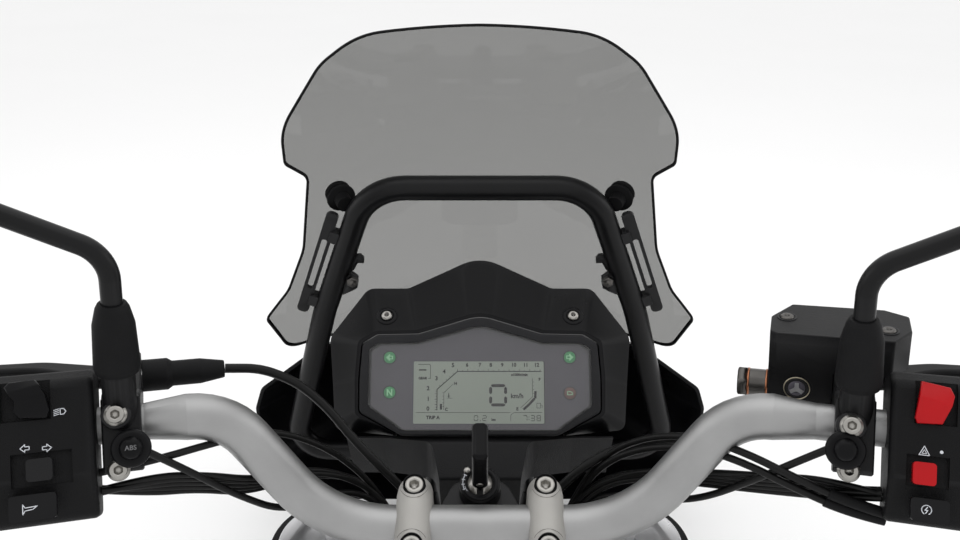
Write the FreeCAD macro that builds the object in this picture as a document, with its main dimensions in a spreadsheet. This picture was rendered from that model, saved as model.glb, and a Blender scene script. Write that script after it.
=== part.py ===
import FreeCAD, Part
import math
import os
import types
import Sketcher
from FreeCAD import Placement, Rotation, Vector

# Cockpit of an adventure motorcycle: the front control station from the head tube up.
# X points to the rider's right, Y forward and Z up. Lengths are in millimetres and angles in degrees.
# The origin lies on the steering axis, at the middle of the head tube's free lower wall.

SIZES = {
    # Steering head
    "rake_angle": 25,
    "head_tube_length": 150,
    "head_tube_drop": 40,
    "head_tube_radius": 27,
    "head_tube_free": 80,
    "head_band_radius": 28,
    "head_bore_radius": 17.5,
    "bearing_seat_radius": 22.5,
    "bearing_seat_depth": 14,
    "head_collar_radius": 30,
    "head_collar_height": 22,
    "stem_radius": 12.5,
    "stem_tail": 60,
    "stem_nut_radius": 17,
    "stem_nut_height": 12,
    "running_gap": 0.3,
    "seat_gap": 0.2,
    "cut_overrun": 2,
    "edge_break": 1,
    # Top yoke and fork legs
    "yoke_gap": 6,
    "yoke_thickness": 28,
    "fork_offset": 28,
    "fork_spacing": 226,
    "fork_tube_radius": 27.5,
    "fork_bore_radius": 22,
    "fork_thread_radius": 23,
    "fork_thread_depth": 7,
    "fork_stub_length": 110,
    "fork_ring_radius": 35.5,
    "fork_slit_width": 3,
    "fork_lug_length": 26,
    "fork_lug_width": 24,
    "fork_cap_flange": 6,
    "fork_cap_step": 4,
    "fork_cap_hex_radius": 18,
    "fork_cap_hex_height": 7,
    "fork_cap_screw_radius": 7,
    "fork_cap_screw_height": 4,
    "yoke_pocket_depth": 14,
    "yoke_round": 12,
    # Handlebar clamps
    "clamp_spacing": 88,
    "clamp_width": 24,
    "clamp_length": 66,
    "clamp_bolt_spacing": 42,
    "clamp_split": 1,
    "clamp_cap_height": 20,
    "clamp_head_radius": 7.75,
    "clamp_head_depth": 8.5,
    "clamp_edge_round": 3,
    # Handlebar
    "bar_height": 182,
    "bar_radius": 14.3,
    "bar_end_radius": 11.1,
    "bar_straight": 100,
    "bar_shoulder": 160,
    "bar_rise": 90,
    "bar_sweep_back": 88,
    "bar_tip_lift": 22.6,
    "bar_half_width": 415,
    "bar_lower_bend": 81,
    "bar_upper_bend": 45,
    "taper_start": 182,
    "taper_end": 205,
    # Grips and weights
    "grip_length": 118,
    "grip_radius": 16.5,
    "grip_flange_radius": 21,
    "grip_flange_width": 5,
    "weight_radius": 15,
    "weight_length": 20,
    # Switch housings, seen square to the rider's line of sight
    "sight_angle": 34.5,
    "switch_width": 56,
    "left_switch_place": 256,
    "right_switch_place": 268,
    "switch_above": 33,
    "switch_below": 53,
    "switch_front": 20,
    "switch_back": 27,
    "switch_round": 7,
    "button_gap": 0.3,
    "button_stand": 4,
    "button_recess": 3,
    # Perches, levers and mirrors
    "left_perch_place": 216.5,
    "right_perch_place": 225,
    "perch_width": 22,
    "perch_radius": 20,
    "perch_bolt_spacing": 28,
    "perch_lug_drop": 7,
    "perch_bolt_radius": 4,
    "pivot_ahead": 50,
    "pivot_above": 4,
    "pivot_radius": 4,
    "lever_eye_radius": 11,
    "lever_thickness": 9,
    "lever_fork_gap": 0.5,
    "lever_sweep_gap": 2.5,
    "lever_reach": 192,
    "mirror_back": 10,
    "mirror_boot_wide": 13,
    "mirror_boot_narrow": 7.8,
    "mirror_stem_radius": 5.9,
    "mirror_post_radius": 9.5,
    "mirror_head_width": 176,
    "mirror_head_height": 104,
    "mirror_head_depth": 34,
    "mirror_wall": 3,
    "mirror_glass": 3,
    "mirror_ball": 9,
    # Brake reservoir
    "reservoir_length": 84,
    "reservoir_width": 46,
    "reservoir_height": 19,
    "reservoir_ahead": 57,
    "reservoir_cap": 7,
    # Ignition lock and key
    "lock_ahead": 73,
    "lock_radius": 15,
    "lock_lug_radius": 17.5,
    "lock_face": 157,
    "lock_length": 80,
    "lock_disc_radius": 9.5,
    "lock_neck_radius": 12,
    "lock_neck_length": 24,
    "lock_shoulder": 28,
    "key_blade_width": 8,
    "key_blade_thickness": 2.4,
    "key_bow_width": 11,
    "key_bow_height": 42,
    "key_height": 62,
    # Instrument, in a frame tilted to face the rider
    "instrument_tilt": 55,
    "instrument_ahead": 133.5,
    "instrument_lift": 22.5,
    "instrument_half_width": 96.4,
    "instrument_depth": 32,
    "lens_border": 7,
    "lens_depth": 3,
    "dial_depth": 7,
    "lcd_width": 104,
    "lcd_height": 50,
    "lcd_rim": 1.5,
    # Cowl round the instrument
    "cowl_fall": 20,
    "cowl_skirt": 26,
    "cowl_wall": 3,
    "cowl_gap": 1,
    # Lock cover between the instrument and the top yoke
    "cover_back": 152,
    "cover_half_width": 106,
    "cover_bottom": 66,
    # Screen hoop
    "hoop_radius": 10.8,
    "hoop_foot_ahead": 305,
    "hoop_foot_lift": -141,
    "hoop_lean": 9.7,
    "hoop_height": 297.3,
    "hoop_half_width": 196,
    # Windscreen
    "screen_radius": 300,
    "screen_sheet": 3,
    "screen_ahead": 354,
    "screen_lean": 15,
    "screen_half_width": 198.1,
    "screen_height": 296.9,
    "screen_sector": 90,
    # Cockpit stay
    "stay_radius": 9,
    "stay_height": 54,
    "stay_half_spacing": 24,
    "stay_saddle_width": 64,
    "stay_saddle_depth": 30,
    "post_radius": 6,
    # Front mask and headlight
    "mask_back": 252,
    "mask_length": 155,
    "mask_half_width": 230,
    "mask_top": 150,
    "mask_wall": 3,
    "light_half_width": 94,
    "light_bottom": 4,
    "light_height": 104,
    "light_depth": 62,
    "light_bowl_radius": 36,
    "light_lens": 5,
    # Further sizes of the controls
    "left_grip_start": 284,
    "right_grip_start": 297,
    "left_mirror_post": 42,
    "right_mirror_post": 33,
    "reservoir_shift": 9,
    "reservoir_top": 34,
    "reservoir_round": 2.5,
    "cylinder_ahead": 43,
    "cylinder_above": -1,
    "cylinder_radius": 9,
    "banjo_bolt_radius": 5,
    "banjo_washer": 1.5,
    "banjo_eye_width": 10,
    "banjo_eye_radius": 9,
    "banjo_head": 6,
    "banjo_head_radius": 8,
    "lever_bend_round": 10,
    "clutch_boot_length": 52,
    "clutch_boot_radius": 10.5,
    "perch_button_seat": 0.2,
    "perch_button_drop": 16,
    "perch_button_inboard": 5,
    "perch_button_radius": 10.5,
    "perch_button_height": 9,
    "perch_button_step": 5.4,
    "perch_cap_radius": 7.35,
    "perch_cap_face": 6.3,
    "mirror_ball_ahead": 16,
    "mirror_ball_out": 182,
    "mirror_ball_lift": 142,
    "mirror_elbow": 28,
    "mirror_bend_height": 72,
    "mirror_bend_radius": 22,
    "mirror_boot_height": 43,
    "mirror_yaw": 18,
    "mirror_tilt": 6,
    "mirror_head_shift": 34,
    "mirror_head_rise": 10,
    "mirror_head_round": 22,
    "mirror_lip": 2,
    "key_depth": 20,
    "key_bow_depth": 28,
    "instrument_rise": 61.3,
    "instrument_round": 12,
    "bezel_round": 2,
    "cover_height": 60,
    "cover_lap": 9,
    "cover_hollow": 46,
    "hoop_sill_bend": 30,
    "hoop_leg_bend": 200,
    "hoop_bend": 48,
    "screen_round": 16,
    "stay_half_spread": 60,
    "post_spread": 38,
    "post_run": 26,
    "post_bend": 10,
    "post_place": 0.62,
    "slide_offset": 20,
    "slide_top": 8,
    "slide_length": 112,
    "slide_width": 11,
    "slide_thickness": 5,
    "slot_width": 5,
    "mount_across": 129,
    "mount_height": 152,
    "mount_length": 21.7,
    "mount_radius": 13,
    "mount_seat": 0.45,
    "mask_round": 18,
    "light_round": 14,
    "light_rim": 3,
    "light_bowl_spread": 44,
    "loom_radius": 5.2,
    "cable_radius": 3.2,
    "hose_radius": 3.4,
    "clip_width": 10,
    "clip_wall": 3,
    "clip_stalk_radius": 4,
    "clip_root_across": 56,
    "clip_root_ahead": 36,
}

TINY = 1e-6
RIGHT = 1
LEFT = -1

os.makedirs("parts", exist_ok=True)
doc = FreeCAD.newDocument("MotorcycleCockpit")


class Length(float):
    """A value of the sheet, or one worked out from it, that carries its own expression."""

    def __new__(cls, value, text):
        length = super().__new__(cls, value)
        length.text = text
        return length

    def __add__(self, other):
        return Length(float(self) + float(other), f"({self.text} + {text_of(other)})")

    def __sub__(self, other):
        return Length(float(self) - float(other), f"({self.text} - {text_of(other)})")

    def __rsub__(self, other):
        return Length(float(other) - float(self), f"({text_of(other)} - {self.text})")

    def __mul__(self, other):
        return Length(float(self) * float(other), f"({self.text} * {text_of(other)})")

    def __truediv__(self, other):
        return Length(float(self) / float(other), f"({self.text} / {text_of(other)})")

    def __neg__(self):
        return Length(-float(self), f"(-1 * {self.text})")

    __radd__ = __add__
    __rmul__ = __mul__


def text_of(value):
    return getattr(value, "text", repr(float(value)))


def read_sizes():
    """Put the driving dimensions in a spreadsheet and hand them back as lengths."""
    sheet = doc.addObject("Spreadsheet::Sheet", "Sizes")
    for row, (name, value) in enumerate(SIZES.items(), start=1):
        sheet.set(f"A{row}", name)
        sheet.set(f"B{row}", str(value))
        sheet.setAlias(f"B{row}", name)
    doc.recompute()
    return types.SimpleNamespace(**{
        name: Length(sheet.get(name), f"Sizes.{name}") for name in SIZES
    })


size = read_sizes()

# Reference frames

UPRIGHT = Rotation()
YOKE = Placement(Vector(), Rotation(Vector(1, 0, 0), size.rake_angle))
BAR_CENTRE = YOKE.multVec(Vector(0, size.fork_offset, size.bar_height))
BAR = Placement(BAR_CENTRE, UPRIGHT)
INSTRUMENT = BAR * Placement(
    Vector(0, size.instrument_ahead, size.instrument_lift),
    Rotation(Vector(1, 0, 0), size.instrument_tilt))
SCREEN = BAR * Placement(
    Vector(0, size.screen_ahead, 0), Rotation(Vector(1, 0, 0), size.screen_lean))
HOOP = BAR * Placement(
    Vector(0, size.hoop_foot_ahead, size.hoop_foot_lift),
    Rotation(Vector(1, 0, 0), size.hoop_lean))


def yoke_frame(x, y, z):
    return YOKE * Placement(Vector(x, y, z), UPRIGHT)


# Sketches and features


def new_body(label, placement):
    body = doc.addObject("PartDesign::Body", label)
    body.Label = label
    body.Placement = placement
    return body


def new_sketch(body, role, offset=0):
    """An empty sketch on one of the body's own planes, moved along that plane's normal."""
    sketch = body.newObject("Sketcher::SketchObject", "Sketch")
    plane = next(item for item in body.Origin.OriginFeatures if item.Role == role)
    sketch.AttachmentSupport = [(plane, "")]
    sketch.MapMode = "FlatFace"
    sketch.AttachmentOffset = Placement(Vector(0, 0, offset), UPRIGHT)
    if abs(offset) > TINY:
        sketch.setExpression("AttachmentOffset.Base.z", text_of(offset))
    return sketch


def hold(sketch, rules):
    """Add constraints, each given with the expression that drives it or None."""
    first = sketch.ConstraintCount
    sketch.addConstraint([rule for rule, text in rules])
    for index, (rule, text) in enumerate(rules, start=first):
        if text:
            sketch.setExpression(f"Constraints[{index}]", text)


def joined(first, first_end, second, second_end, kind="Coincident"):
    return [(Sketcher.Constraint(kind, first, first_end, second, second_end), None)]


def point_at(geometry, end, x, y):
    """Rules that hold one point by its distances from the origin."""
    rules = []
    for kind, axis, distance in (("DistanceX", -2, x), ("DistanceY", -1, y)):
        if abs(distance) < TINY:
            rules.append((Sketcher.Constraint("PointOnObject", geometry, end, axis), None))
        else:
            rule = Sketcher.Constraint(kind, -1, 1, geometry, end, float(distance))
            rules.append((rule, text_of(distance)))
    return rules


def radius_of(geometry, radius):
    return [(Sketcher.Constraint("Radius", geometry, float(radius)), text_of(radius))]


def round_corner(before, corner, after, radius):
    """Start, end and centre of the arc of that radius in a corner."""
    back = (before - corner).normalize()
    ahead = (after - corner).normalize()
    half_angle = back.getAngle(ahead) / 2
    reach = radius / math.tan(half_angle)
    middle = (back + ahead).normalize()
    return corner + back * reach, corner + ahead * reach, corner + middle * (radius / math.sin(half_angle))


def corner_arc(start, end, centre, radius):
    """The arc in a corner and whether it runs from start to end."""
    first = math.atan2(start.y - centre.y, start.x - centre.x)
    last = math.atan2(end.y - centre.y, end.x - centre.x)
    forward = math.sin(last - first) > 0
    if not forward:
        first, last = last, first
    if last < first:
        last += 2 * math.pi
    return Part.ArcOfCircle(Part.Circle(centre, Vector(0, 0, 1), radius), first, last), forward


def draw_outline(sketch, corners):
    """A closed outline of straight edges. A corner with a third value is rounded to that radius."""
    points = [Vector(corner[0], corner[1], 0) for corner in corners]
    count = len(corners)
    rounds = []
    for index, corner in enumerate(corners):
        if len(corner) > 2:
            rounds.append(round_corner(
                points[index - 1], points[index], points[(index + 1) % count], float(corner[2])))
        else:
            rounds.append((points[index], points[index], None))
    lines = []
    for index in range(count):
        start = rounds[index][1]
        end = rounds[(index + 1) % count][0]
        lines.append(sketch.addGeometry(Part.LineSegment(start, end)))
    rules = []
    for index, corner in enumerate(corners):
        before = lines[index - 1]
        after = lines[index]
        start, end, centre = rounds[index]
        if centre is None:
            rules += joined(before, 2, after, 1)
            rules += point_at(after, 1, corner[0], corner[1])
            continue
        arc, forward = corner_arc(start, end, centre, float(corner[2]))
        curve = sketch.addGeometry(arc)
        mark = sketch.addGeometry(Part.Point(points[index]), True)
        rules += point_at(mark, 1, corner[0], corner[1])
        rules.append((Sketcher.Constraint("PointOnObject", mark, 1, before), None))
        rules.append((Sketcher.Constraint("PointOnObject", mark, 1, after), None))
        rules += joined(before, 2, curve, 1 if forward else 2, "Tangent")
        rules += joined(curve, 2 if forward else 1, after, 1, "Tangent")
        rules += radius_of(curve, corner[2])
    hold(sketch, rules)


def draw_circle(sketch, x, y, radius):
    circle = sketch.addGeometry(Part.Circle(Vector(x, y, 0), Vector(0, 0, 1), float(radius)))
    hold(sketch, point_at(circle, 3, x, y) + radius_of(circle, radius))


def mirrored(half):
    """A whole outline from its right half, listed from the top centre to the bottom centre."""
    left = [(-corner[0],) + tuple(corner[1:]) for corner in reversed(half) if abs(corner[0]) > TINY]
    return list(half) + left


def rectangle(x, y, width, height, radius=None):
    """Corners of a rectangle centred on x, y."""
    ends = ((1, 1), (-1, 1), (-1, -1), (1, -1))
    corners = [(x + width / 2 * across, y + height / 2 * up) for across, up in ends]
    return [corner + (radius,) for corner in corners] if radius else corners


def scaled(shares, width, height, radius=None):
    """Corners from shares of a width and a height, with radii as shares of the third value."""
    corners = []
    for share in shares:
        corner = (width * share[0], height * share[1])
        if len(share) > 2:
            corner = corner + (radius * share[2],)
        corners.append(corner)
    return corners


def pad(body, sketch, length):
    feature = body.newObject("PartDesign::Pad", "Pad")
    feature.Profile = sketch
    feature.Length = float(length)
    feature.setExpression("Length", text_of(length))
    return feature


def pocket(body, sketch, depth, forward=False):
    """Cut a sketch against its normal, or along it where forward is set."""
    feature = body.newObject("PartDesign::Pocket", "Pocket")
    feature.Profile = sketch
    feature.Length = float(depth)
    feature.setExpression("Length", text_of(depth))
    feature.Reversed = forward
    return feature


def padded(body, role, offset, length, corners):
    sketch = new_sketch(body, role, offset)
    draw_outline(sketch, corners)
    return pad(body, sketch, length)


def drilled(body, role, offset, depth, circles, forward=False):
    """Cut round holes, each given by its centre and radius."""
    sketch = new_sketch(body, role, offset)
    for x, y, radius in circles:
        draw_circle(sketch, x, y, radius)
    return pocket(body, sketch, depth, forward)


def recessed(body, role, offset, depth, corners, forward=False):
    sketch = new_sketch(body, role, offset)
    draw_outline(sketch, corners)
    return pocket(body, sketch, depth, forward)


def turned(label, placement, profile, role="XZ_Plane"):
    """A piece turned about its own Z axis from a profile of radius and height."""
    body = new_body(label, placement)
    spin(body, profile, role)
    return body


def spin(body, profile, role="XZ_Plane", kind="PartDesign::Revolution"):
    sketch = new_sketch(body, role)
    draw_outline(sketch, profile)
    feature = body.newObject(kind, "Turned")
    feature.Profile = sketch
    feature.ReferenceAxis = (sketch, ["V_Axis"])
    feature.Angle = 360
    return feature


def finish_edges(body, kind, name, amount, wanted):
    """Fillet or chamfer the edges of the body that the test wants."""
    base = body.Tip
    base.recompute(True)
    names = [f"Edge{index}" for index, edge in enumerate(base.Shape.Edges, start=1) if wanted(edge)]
    feature = body.newObject(kind, "Edges")
    feature.Base = (base, names)
    setattr(feature, name, float(amount))
    feature.setExpression(name, text_of(amount))
    return feature


def fillet(body, radius, wanted):
    return finish_edges(body, "PartDesign::Fillet", "Radius", radius, wanted)


def chamfer(body, depth, wanted):
    return finish_edges(body, "PartDesign::Chamfer", "Size", depth, wanted)


def runs_along(direction):
    """A test for straight edges that lie along a direction."""
    def wanted(edge):
        if edge.Curve.TypeId != "Part::GeomLine":
            return False
        return abs(abs(edge.Curve.Direction.dot(direction)) - 1) < TINY
    return wanted


def lies_at(axis, level, slack=0.01):
    """A test for edges whose whole length lies at one level of an axis, 0 to 2 for x to z."""
    def wanted(edge):
        box = edge.BoundBox
        lowest = (box.XMin, box.YMin, box.ZMin)[axis]
        highest = (box.XMax, box.YMax, box.ZMax)[axis]
        return abs(lowest - level) < slack and abs(highest - level) < slack
    return wanted


# Tubes and booleans


def rounded_route(points, radii):
    """Straight runs joined by tangent arcs, as one wire."""
    edges = []
    start = points[0]
    for index, radius in enumerate(radii, start=1):
        corner = points[index]
        first, last, centre = round_corner(points[index - 1], corner, points[index + 1], radius)
        middle = centre + (corner - centre).normalize() * radius
        edges.append(Part.LineSegment(start, first).toShape())
        edges.append(Part.Arc(first, middle, last).toShape())
        start = last
    edges.append(Part.LineSegment(start, points[-1]).toShape())
    return Part.Wire(edges)


def cord_radii(points, run_share=0.45):
    """The largest radius that fits each corner of a cord's route."""
    radii = []
    for before, corner, after in zip(points, points[1:], points[2:]):
        turn = (corner - before).getAngle(after - corner)
        shorter = min((corner - before).Length, (after - corner).Length)
        radii.append(shorter * run_share / math.tan(turn / 2))
    return radii


def tube(label, points, radii, radius, placement=None):
    """A round rod swept along a rounded route."""
    route = doc.addObject("Part::Feature", label + "_route")
    route.Shape = rounded_route(points, radii)
    section = doc.addObject("Part::Circle", label + "_section")
    section.Radius = float(radius)
    section.setExpression("Radius", text_of(radius))
    section.Placement = Placement(points[0], Rotation(Vector(0, 0, 1), points[1] - points[0]))
    sweep = doc.addObject("Part::Sweep", label)
    sweep.Sections = [section]
    sweep.Spine = (route, [f"Edge{number}" for number in range(1, len(route.Shape.Edges) + 1)])
    sweep.Solid = True
    sweep.Label = label
    if placement:
        sweep.Placement = placement
    return sweep


def straight_tube(label, start, end, radius, end_radius=None):
    """A cylinder between two points, or a cone where its end has another radius."""
    kind = "Part::Cone" if end_radius else "Part::Cylinder"
    piece = doc.addObject(kind, label)
    if end_radius:
        piece.setExpression("Radius1", text_of(radius))
        piece.setExpression("Radius2", text_of(end_radius))
    else:
        piece.setExpression("Radius", text_of(radius))
    piece.Height = (end - start).Length
    piece.Placement = Placement(start, Rotation(Vector(0, 0, 1), end - start))
    return piece


def fused(label, pieces):
    whole = doc.addObject("Part::MultiFuse", label)
    whole.Shapes = pieces
    whole.Label = label
    return whole


def cut_away(label, base, tool):
    rest = doc.addObject("Part::Cut", label)
    rest.Base = base
    rest.Tool = tool
    rest.Label = label
    return rest


def side_name(side):
    return "right" if side == RIGHT else "left"


# Handlebar geometry shared by everything that sits on the bar


def bar_corners(side):
    """Corners of one half of the bar's centre line, from the middle outwards."""
    shoulder = Vector(side * size.bar_shoulder, 0, size.bar_rise)
    tip = Vector(side * size.bar_half_width, -size.bar_sweep_back, size.bar_rise + size.bar_tip_lift)
    return [Vector(), Vector(side * size.bar_straight, 0, 0), shoulder, tip]


def bar_point(side, distance):
    """Point of the bar's outer run at a distance from the middle plane."""
    shoulder, tip = bar_corners(side)[2:]
    share = (distance - size.bar_shoulder) / (size.bar_half_width - size.bar_shoulder)
    return shoulder + (tip - shoulder) * float(share)


def control_frame(side, distance, sight=0):
    """Frame on the bar: Z outwards, Y up and X forwards on the right side, backwards on the left.

    A sight angle turns it about the bar until Y lies square to the rider's line of sight.
    """
    shoulder, tip = bar_corners(side)[2:]
    out = (tip - shoulder).normalize()
    ahead = Vector(0, 0, 1).cross(out) * side
    ahead.normalize()
    up = out.cross(ahead) * side
    columns = FreeCAD.Matrix(
        side * ahead.x, up.x, out.x, 0,
        side * ahead.y, up.y, out.y, 0,
        side * ahead.z, up.z, out.z, 0,
        0, 0, 0, 1)
    frame = BAR * Placement(bar_point(side, distance), UPRIGHT) * Placement(columns)
    return frame * Placement(Vector(), Rotation(Vector(0, 0, 1), -side * sight))


# Steering head


def make_head_tube():
    bottom = -size.head_tube_drop
    top = bottom + size.head_tube_length
    collar = top - size.head_collar_height
    step = bottom + size.head_tube_free
    cone = size.head_collar_radius - size.head_band_radius
    return turned("head_tube", YOKE, [
        (size.bearing_seat_radius, bottom),
        (size.head_tube_radius, bottom),
        (size.head_tube_radius, step),
        (size.head_band_radius, step),
        (size.head_band_radius, collar - cone),
        (size.head_collar_radius, collar),
        (size.head_collar_radius, top),
        (size.bearing_seat_radius, top),
        (size.bearing_seat_radius, top - size.bearing_seat_depth),
        (size.head_bore_radius, top - size.bearing_seat_depth),
        (size.head_bore_radius, bottom + size.bearing_seat_depth),
        (size.bearing_seat_radius, bottom + size.bearing_seat_depth),
    ])


def yoke_bottom():
    return size.head_tube_length - size.head_tube_drop + size.yoke_gap


def yoke_top():
    return yoke_bottom() + size.yoke_thickness


def make_steering_stem():
    """Stem with its bearings, the dust seal under the yoke and the nut on top of it."""
    tube_bottom = -size.head_tube_drop
    tube_top = tube_bottom + size.head_tube_length
    bearing = size.bearing_seat_radius - size.running_gap
    tall = size.bearing_seat_depth - size.running_gap
    seal = size.head_collar_radius - size.fork_cap_step
    nut_bottom = yoke_top()
    body = turned("steering_stem", YOKE, [
        (0, tube_bottom - size.stem_tail),
        (size.stem_radius, tube_bottom - size.stem_tail),
        (size.stem_radius, tube_bottom),
        (bearing, tube_bottom),
        (bearing, tube_bottom + tall),
        (size.stem_radius, tube_bottom + tall),
        (size.stem_radius, tube_top - tall),
        (bearing, tube_top - tall),
        (bearing, tube_top + size.running_gap),
        (seal, tube_top + size.running_gap),
        (seal, yoke_bottom()),
        (size.stem_radius, yoke_bottom()),
        (size.stem_radius, nut_bottom),
        (size.stem_nut_radius, nut_bottom),
        (size.stem_nut_radius, nut_bottom + size.stem_nut_height, size.edge_break),
        (0, nut_bottom + size.stem_nut_height),
    ])
    recessed(body, "XY_Plane", nut_bottom + size.stem_nut_height, size.stem_nut_height / 2,
             rectangle(0, 0, size.stem_nut_radius, size.stem_nut_radius, size.edge_break))
    return body


YOKE_PLAN_SHARES = [
    (0, 1), (0.17, 1, 1), (0.3, 0.62, 1), (0.62, 0.5, 1), (1, 0.68),
    (1, 0.02), (0.62, 0.02, 1), (0.32, -0.36, 1), (0, -0.36),
]


def make_top_yoke():
    """Cast yoke: two split clamps, the stem boss, the lock lug and pockets on its underside."""
    body = new_body("yoke_casting", YOKE)
    low = yoke_bottom()
    half = size.fork_spacing / 2
    front = size.lock_ahead + size.lock_lug_radius / 2
    padded(body, "XY_Plane", low, size.yoke_thickness, mirrored(
        scaled(YOKE_PLAN_SHARES, half, front, size.yoke_round)))
    for x, y, radius in (
            (half, size.fork_offset, size.fork_ring_radius),
            (-half, size.fork_offset, size.fork_ring_radius),
            (0, 0, size.head_collar_radius),
            (0, size.lock_ahead, size.lock_lug_radius)):
        sketch = new_sketch(body, "XY_Plane", low)
        draw_circle(sketch, x, y, radius)
        pad(body, sketch, size.yoke_thickness)
    lug_y = size.fork_offset - size.fork_ring_radius - size.fork_lug_length / 2
    for side in (RIGHT, LEFT):
        padded(body, "XY_Plane", low, size.yoke_thickness, rectangle(
            side * half, lug_y + size.fork_lug_length / 2, size.fork_lug_width,
            size.fork_lug_length, size.clamp_edge_round))
    fillet(body, size.edge_break, lies_at(2, low + size.yoke_thickness))
    depth = size.yoke_thickness + size.cut_overrun
    top = low + size.yoke_thickness
    tube_hole = size.fork_tube_radius + size.seat_gap
    drilled(body, "XY_Plane", top, depth, [
        (half, size.fork_offset, tube_hole),
        (-half, size.fork_offset, tube_hole),
        (0, 0, size.stem_radius + size.seat_gap),
        (0, size.lock_ahead, size.lock_radius + size.seat_gap),
    ])
    for side in (RIGHT, LEFT):
        recessed(body, "XY_Plane", top, depth, rectangle(
            side * half, lug_y, size.fork_slit_width, size.fork_lug_length * 2))
        reach = half - size.fork_ring_radius
        recessed(body, "XY_Plane", low, size.yoke_pocket_depth, rectangle(
            side * reach * YOKE_POCKET_SHARES[0], size.fork_offset * YOKE_POCKET_SHARES[1],
            reach * YOKE_POCKET_SHARES[2], size.fork_offset * YOKE_POCKET_SHARES[3],
            size.clamp_edge_round), forward=True)
    return body


YOKE_POCKET_SHARES = (0.68, 0.72, 0.34, 0.8)


def make_fork_tube(side):
    top = yoke_top() + size.fork_cap_step
    return turned(f"fork_tube_{side_name(side)}", yoke_frame(
        side * size.fork_spacing / 2, size.fork_offset, top - size.fork_stub_length), [
        (size.fork_bore_radius, 0),
        (size.fork_tube_radius, 0),
        (size.fork_tube_radius, size.fork_stub_length),
        (size.fork_thread_radius, size.fork_stub_length),
        (size.fork_thread_radius, size.fork_stub_length - size.fork_thread_depth),
        (size.fork_bore_radius, size.fork_stub_length - size.fork_thread_depth),
    ])


def hexagon(radius):
    return [(radius * math.cos(math.radians(angle)), radius * math.sin(math.radians(angle)))
            for angle in range(0, 360, 60)]


def make_fork_cap(side):
    """Cap screwed into the fork tube, with a hexagon and the adjuster screw in it."""
    body = turned(f"fork_cap_{side_name(side)}", yoke_frame(
        side * size.fork_spacing / 2, size.fork_offset, yoke_top() + size.fork_cap_step), [
        (0, -size.fork_cap_flange),
        (size.fork_thread_radius - size.seat_gap, -size.fork_cap_flange),
        (size.fork_thread_radius - size.seat_gap, 0),
        (size.fork_tube_radius, 0),
        (size.fork_tube_radius, size.fork_cap_flange, size.edge_break),
        (0, size.fork_cap_flange),
    ])
    padded(body, "XY_Plane", size.fork_cap_flange, size.fork_cap_hex_height,
           hexagon(size.fork_cap_hex_radius))
    sketch = new_sketch(body, "XY_Plane", size.fork_cap_flange + size.fork_cap_hex_height)
    draw_circle(sketch, 0, 0, size.fork_cap_screw_radius)
    pad(body, sketch, size.fork_cap_screw_height)
    return body


# Handlebar and its clamps


CLAMP_SIDE_SHARES = [
    (0.5, 0), (0.5, 0.45, 1), (0.3, 1, 1), (-0.3, 1, 1), (-0.5, 0.45, 1), (-0.5, 0),
]


def clamp_half(label, side, bottom, height, outline):
    """One half of a handlebar clamp: a block with rounded ends, bored for the bar and its bolts."""
    body = new_body(label, yoke_frame(side * size.clamp_spacing / 2, size.fork_offset, bottom))
    padded(body, "YZ_Plane", -size.clamp_width / 2, size.clamp_width, outline)
    fillet(body, size.clamp_width / 2 - size.edge_break, runs_along(Vector(0, 0, 1)))
    sketch = new_sketch(body, "YZ_Plane", -size.clamp_width / 2 - size.cut_overrun)
    draw_circle(sketch, 0, size.bar_height - bottom, size.bar_radius)
    pocket(body, sketch, size.clamp_width + size.cut_overrun * 2, forward=True)
    return body


def make_riser(side):
    height = size.bar_height - size.clamp_split / 2 - yoke_top()
    return clamp_half(f"riser_{side_name(side)}", side, yoke_top(), height,
                      rectangle(0, height / 2, size.clamp_length, height))


def make_bar_cap(side):
    bottom = size.bar_height + size.clamp_split / 2
    body = clamp_half(
        f"bar_cap_{side_name(side)}", side, bottom, size.clamp_cap_height,
        scaled(CLAMP_SIDE_SHARES, size.clamp_length, size.clamp_cap_height,
               size.clamp_edge_round * 2))
    drilled(body, "XY_Plane", size.clamp_cap_height + size.cut_overrun,
            size.clamp_head_depth + size.cut_overrun,
            [(0, end * size.clamp_bolt_spacing / 2, size.clamp_head_radius) for end in (1, -1)])
    return body


def make_bar_end(side):
    return turned(f"bar_end_{side_name(side)}", control_frame(side, size.bar_half_width), [
        (0, 0),
        (size.bar_end_radius, 0),
        (size.weight_radius, size.weight_length / 4, size.edge_break),
        (size.weight_radius, size.weight_length, size.edge_break * 2),
        (0, size.weight_length),
    ])


def make_handlebar():
    """Tube with a fat middle, outer runs of the control diameter and a weight in each end."""
    ends = {side: bar_corners(side) for side in (LEFT, RIGHT)}
    centre = [bar_point(LEFT, size.taper_start), ends[LEFT][2], ends[LEFT][1],
              ends[RIGHT][1], ends[RIGHT][2], bar_point(RIGHT, size.taper_start)]
    bends = [size.bar_upper_bend, size.bar_lower_bend, size.bar_lower_bend, size.bar_upper_bend]
    pieces = [tube("bar_middle", centre, bends, size.bar_radius, BAR)]
    for side in (RIGHT, LEFT):
        start = BAR.multVec(bar_point(side, size.taper_start))
        end = BAR.multVec(bar_point(side, size.taper_end))
        pieces.append(straight_tube(
            f"bar_taper_{side_name(side)}", start, end, size.bar_radius, size.bar_end_radius))
        pieces.append(straight_tube(
            f"bar_outer_{side_name(side)}", end, BAR.multVec(ends[side][3]), size.bar_end_radius))
        pieces.append(make_bar_end(side))
    return fused("handlebar", pieces)


# Grips


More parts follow.
